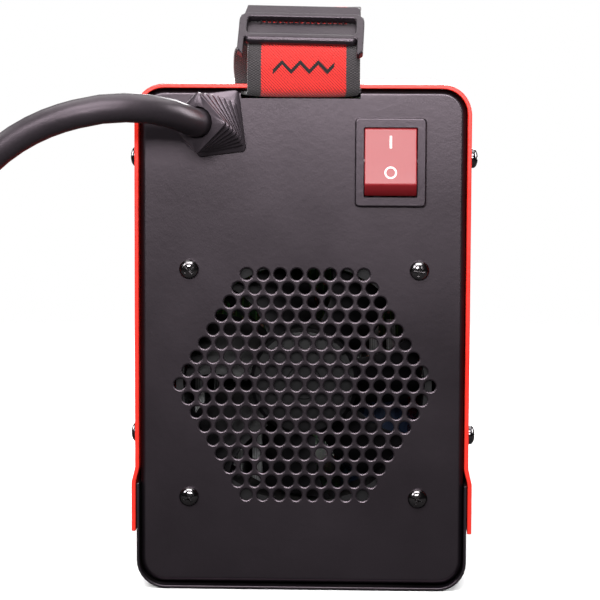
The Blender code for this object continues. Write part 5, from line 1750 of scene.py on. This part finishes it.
@dataclass
class OutputSockets:
    """Two quick-connect sockets with their brass contacts and polarity marks."""

    paints: Paintbox
    seat: float = 0.1376

    def build(self) -> None:
        """Both sockets."""
        for label, side in (("negative", -1), ("positive", 1)):
            place = Matrix.Translation((side * SOCKET_X, self.seat, SOCKET_Z)) @ FORWARD
            shell = Workpiece()
            profile = [(0.0095, 0.0150), (0.0105, 0.0160), (0.0145, 0.0160), (0.0156, 0.0154),
                       (0.0163, 0.0140), (0.0166, 0.0100), (0.0163, 0.0096), (0.0166, 0.0092),
                       (0.0168, 0.0060), (0.0165, 0.0056), (0.0168, 0.0052), (0.0172, 0.0036),
                       (0.0177, 0.0032), (0.0180, 0.0028), (0.0180, 0.0), (0.0145, 0.0),
                       (0.0145, -0.0200), (0.0095, -0.0200)]
            shell.lathe(profile, place, 72)
            socket = shell.object(f"socket_shell_{label}", 30)
            notch = Workpiece()
            for index in range(4):
                angle = math.radians(45 + 90 * index)
                notch.rod((0.0176 * math.cos(angle), 0.0176 * math.sin(angle), 0.0030),
                          (0.0172 * math.cos(angle), 0.0172 * math.sin(angle), 0.0200), 0.0016, 16)
            notch.block((0.0042, 0.0060, 0.0300), (0, 0.0088, 0.0060), 0.0004)
            notch.move(place)
            combine(socket, [notch], smooth=30)
            flatten(socket)
            settle(socket, self.paints["knob_plastic"], [f"output_socket_{label}"])
            contact = Workpiece()
            contact.lathe([(0.0, -0.0160), (0.0062, -0.0160), (0.0066, -0.0156), (0.0066, 0.0112),
                           (0.0070, 0.0120), (0.0088, 0.0120), (0.0092, 0.0116), (0.0092, -0.0215),
                           (0.0, -0.0215)], place, 56)
            settle(contact.object(f"contact_tube_{label}", 30), self.paints["turned_brass"],
                   [f"socket_contact_{label}"])
            self._mark(label, side)

    def _mark(self, label: str, side: int) -> None:
        """Polarity mark on the panel over the socket."""
        mark = Workpiece()
        centre = (side * SOCKET_X, 0.1374, SOCKET_Z + 0.0222)
        if side < 0:
            mark.block((0.0050, 0.0003, 0.0012), centre, 0.0001, 1)
        else:
            mark.prism(cross_outline(0.0026, 0.0006), 0.0003,
                       Matrix.Translation(centre) @ FORWARD)
        settle(mark.object(f"polarity_{label}"), self.paints["printed_white"])


# ---------------------------------------------------------------------- inside


@dataclass
class Inside:
    """Finishes for the pieces inside that keep the model's own shape."""

    paints: Paintbox

    def control_board(self) -> None:
        """Upright board behind the regulator, with its chips and resistors in rows."""
        low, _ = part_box("regulator_body")
        y, bottom, top = low[1] - 0.0020, 0.0640, 0.1740
        board = Workpiece()
        board.block((0.104, 0.0016, top - bottom), (0, y, (top + bottom) / 2), 0.0002, 1)
        settle(board.object("control_board"), self.paints["circuit_board"])
        chips = Workpiece()
        for column in range(5):
            for row in range(4):
                size = (0.010, 0.0022, 0.006) if (column + row) % 2 else (0.0034, 0.0014, 0.0080)
                place = (-0.040 + 0.020 * column, y - 0.0019, 0.080 + 0.024 * row)
                chips.block(size, place, 0.0002, 1)
        settle(chips.object("control_chips"), self.paints["fan_plastic"])

    def dress(self, nodes: dict[str, bpy.types.Object]) -> None:
        """Give each remaining node its finish.

        Args:
            nodes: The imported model's objects by node name.
        """
        looks = {
            "fan_plastic": ["fan_frame", "bridge_rectifier"],
            "nickel": ["fan_motor", "fan_shaft", "regulator_shaft", "regulator_body"],
            "black_chrome": ["rocker_pin"],
            "turned_brass": ["switch_terminal_live", "switch_terminal_neutral"]
                            + [f"board_standoff_{index}" for index in range(1, 5)],
            "grey_plastic": ["boot_lock_ring"],
            "bare_copper": ["busbar_negative", "busbar_positive"],
            "copper_winding": ["transformer_winding", "output_choke"],
            "drawn_aluminium": ["heatsink_inverter", "heatsink_output"],
            "circuit_board": ["main_board"],
            "ferrite": ["transformer_core"],
            "capacitor_sleeve": ["bus_capacitor_1", "bus_capacitor_2"],
        }
        for paint, names in looks.items():
            for name in names:
                node = nodes[name]
                if not node.material_slots:
                    node.data.materials.append(self.paints[paint])
                for slot in node.material_slots:
                    slot.material = self.paints[paint]
                LOG.info("node %s is finished in %s", name, paint)


# ---------------------------------------------------------------------- studio


@dataclass
class Studio:
    """Pale floor, soft light and the camera."""

    camera_place: Vector = fixed(0.0280, -1.0140, 0.1895)
    aim: Vector = fixed(-0.0327, 0.9948, -0.0960)
    roll: float = math.radians(0.24)
    lens: float = 147.5
    floor_bounce: float = 0.05
    surroundings: float = 0.025

    def camera(self) -> None:
        """The camera at its place, looking at the rear panel."""
        data = bpy.data.cameras.new("rear_camera")
        data.lens = self.lens
        data.sensor_width = 36.0
        data.clip_start = 0.05
        camera = hang("rear_camera", data)
        camera.location = self.camera_place
        turn = self.aim.to_track_quat("-Z", "Y").to_matrix() @ Matrix.Rotation(self.roll, 3, "Z")
        camera.rotation_euler = turn.to_euler()
        bpy.context.scene.camera = camera

    def floor(self) -> None:
        """A wide pale floor just under the machine, which throws little light back up."""
        piece = Workpiece()
        bmesh.ops.create_grid(piece.bm, x_segments=2, y_segments=2, size=6.0)
        bmesh.ops.translate(piece.bm, vec=(0, 0, -0.0002), verts=piece.bm.verts)
        floor = piece.object("studio_floor")
        material, pen, shader = blank_material("studio_white")
        seen = pen.node("ShaderNodeLightPath").outputs["Is Camera Ray"]
        pen.feed(shader.inputs["Base Color"],
                 pen.mix(seen, (*(self.floor_bounce,) * 3, 1.0), (0.90, 0.90, 0.90, 1.0)))
        place = pen.node("ShaderNodeTexCoord").outputs["Object"]
        distance = pen.node("ShaderNodeVectorMath", operation="LENGTH")
        pen.feed(distance.inputs[0], place)
        pen.feed(shader.inputs["Alpha"], pen.range(distance.outputs["Value"], 0.30, 0.80, 1.0, 0.0))
        shader.inputs["Roughness"].default_value = 0.9
        shader.inputs["Specular IOR Level"].default_value = 0.1
        floor.data.materials.append(material)

    @staticmethod
    def lamp(name: str, place: Point, aim: Point, size: tuple[float, float], power: float) -> None:
        """One rectangular soft light.

        Args:
            name: Its name.
            place: Where it hangs.
            aim: The point that it looks at.
            size: Its width and height.
            power: Its strength in watts.
        """
        data = bpy.data.lights.new(name, "AREA")
        data.shape = "RECTANGLE"
        data.size, data.size_y = size
        data.energy = power
        lamp = hang(name, data)
        lamp.location = place
        lamp.rotation_euler = (Vector(aim) - Vector(place)).to_track_quat("-Z", "Y").to_euler()

    def light(self) -> None:
        """Seven soft lamps, three behind the rear, one above, one at each side and one in front."""
        self.lamp("key_box", (0.0, -0.90, 0.33), (0, -0.14, 0.12), (0.40, 0.12), 4.8)
        self.lamp("top_box", (0.0, 0.12, 0.95), (0, 0.0, 0.15), (1.20, 0.90), 10)
        self.lamp("rear_top_box", (-0.05, -0.62, 0.68), (0, -0.10, 0.14), (0.55, 0.30), 7)
        self.lamp("rear_left_box", (-0.50, -0.80, 0.50), (-0.03, -0.15, 0.15), (0.25, 0.25), 3)
        self.lamp("left_box", (-1.0, 0.20, 0.50), (0, 0.0, 0.1), (0.6, 0.5), 12)
        self.lamp("right_box", (1.0, 0.20, 0.50), (0, 0.0, 0.1), (0.6, 0.5), 12)
        self.lamp("front_box", (0.1, 0.95, 0.50), (0, 0.1, 0.1), (0.5, 0.3), 7)
        world = bpy.data.worlds.new("studio_world")
        world.use_nodes = True
        pen = NodePen(world.node_tree)
        background = world.node_tree.nodes["Background"]
        seen = pen.node("ShaderNodeLightPath").outputs["Is Camera Ray"]
        background.inputs["Color"].default_value = (1.0, 1.0, 1.0, 1.0)
        pen.feed(background.inputs["Strength"],
                 pen.range(seen, 0.0, 1.0, self.surroundings, 1.0))
        bpy.context.scene.world = world
        bpy.context.scene.view_settings.view_transform = "Standard"

    def build(self) -> None:
        """Set the whole studio."""
        self.camera()
        self.floor()
        self.light()


# ---------------------------------------------------------------------- assembly


def main() -> None:
    """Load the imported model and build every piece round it."""
    logging.basicConfig(level=logging.INFO, format="%(message)s")
    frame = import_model()
    Studio().build()
    paints = Paintbox(Effects())

    lead = MainsLead(paints)
    lead.boot()
    plug = lead.plug()
    lead.cord(plug + [lead.tie()])

    casing = Casing(paints)
    casing.cover()
    casing.tray()
    rear = RearPanel(paints)
    rear.build()
    FrontPanel(paints).build()
    Fasteners(paints).build(rear, casing)
    Fan(paints).impeller()

    switch = MainsSwitch(paints)
    switch.housing()
    switch.rocker()
    switch.marks()

    strap = CarryStrap(paints)
    strap.buckle()
    strap.webbing()

    controls = Controls(paints)
    controls.fascia()
    controls.dial()
    controls.knob()
    controls.lamps()
    OutputSockets(paints).build()
    inside = Inside(paints)
    inside.control_board()
    inside.dress(frame["nodes"])


if __name__ == "__main__":
    main()
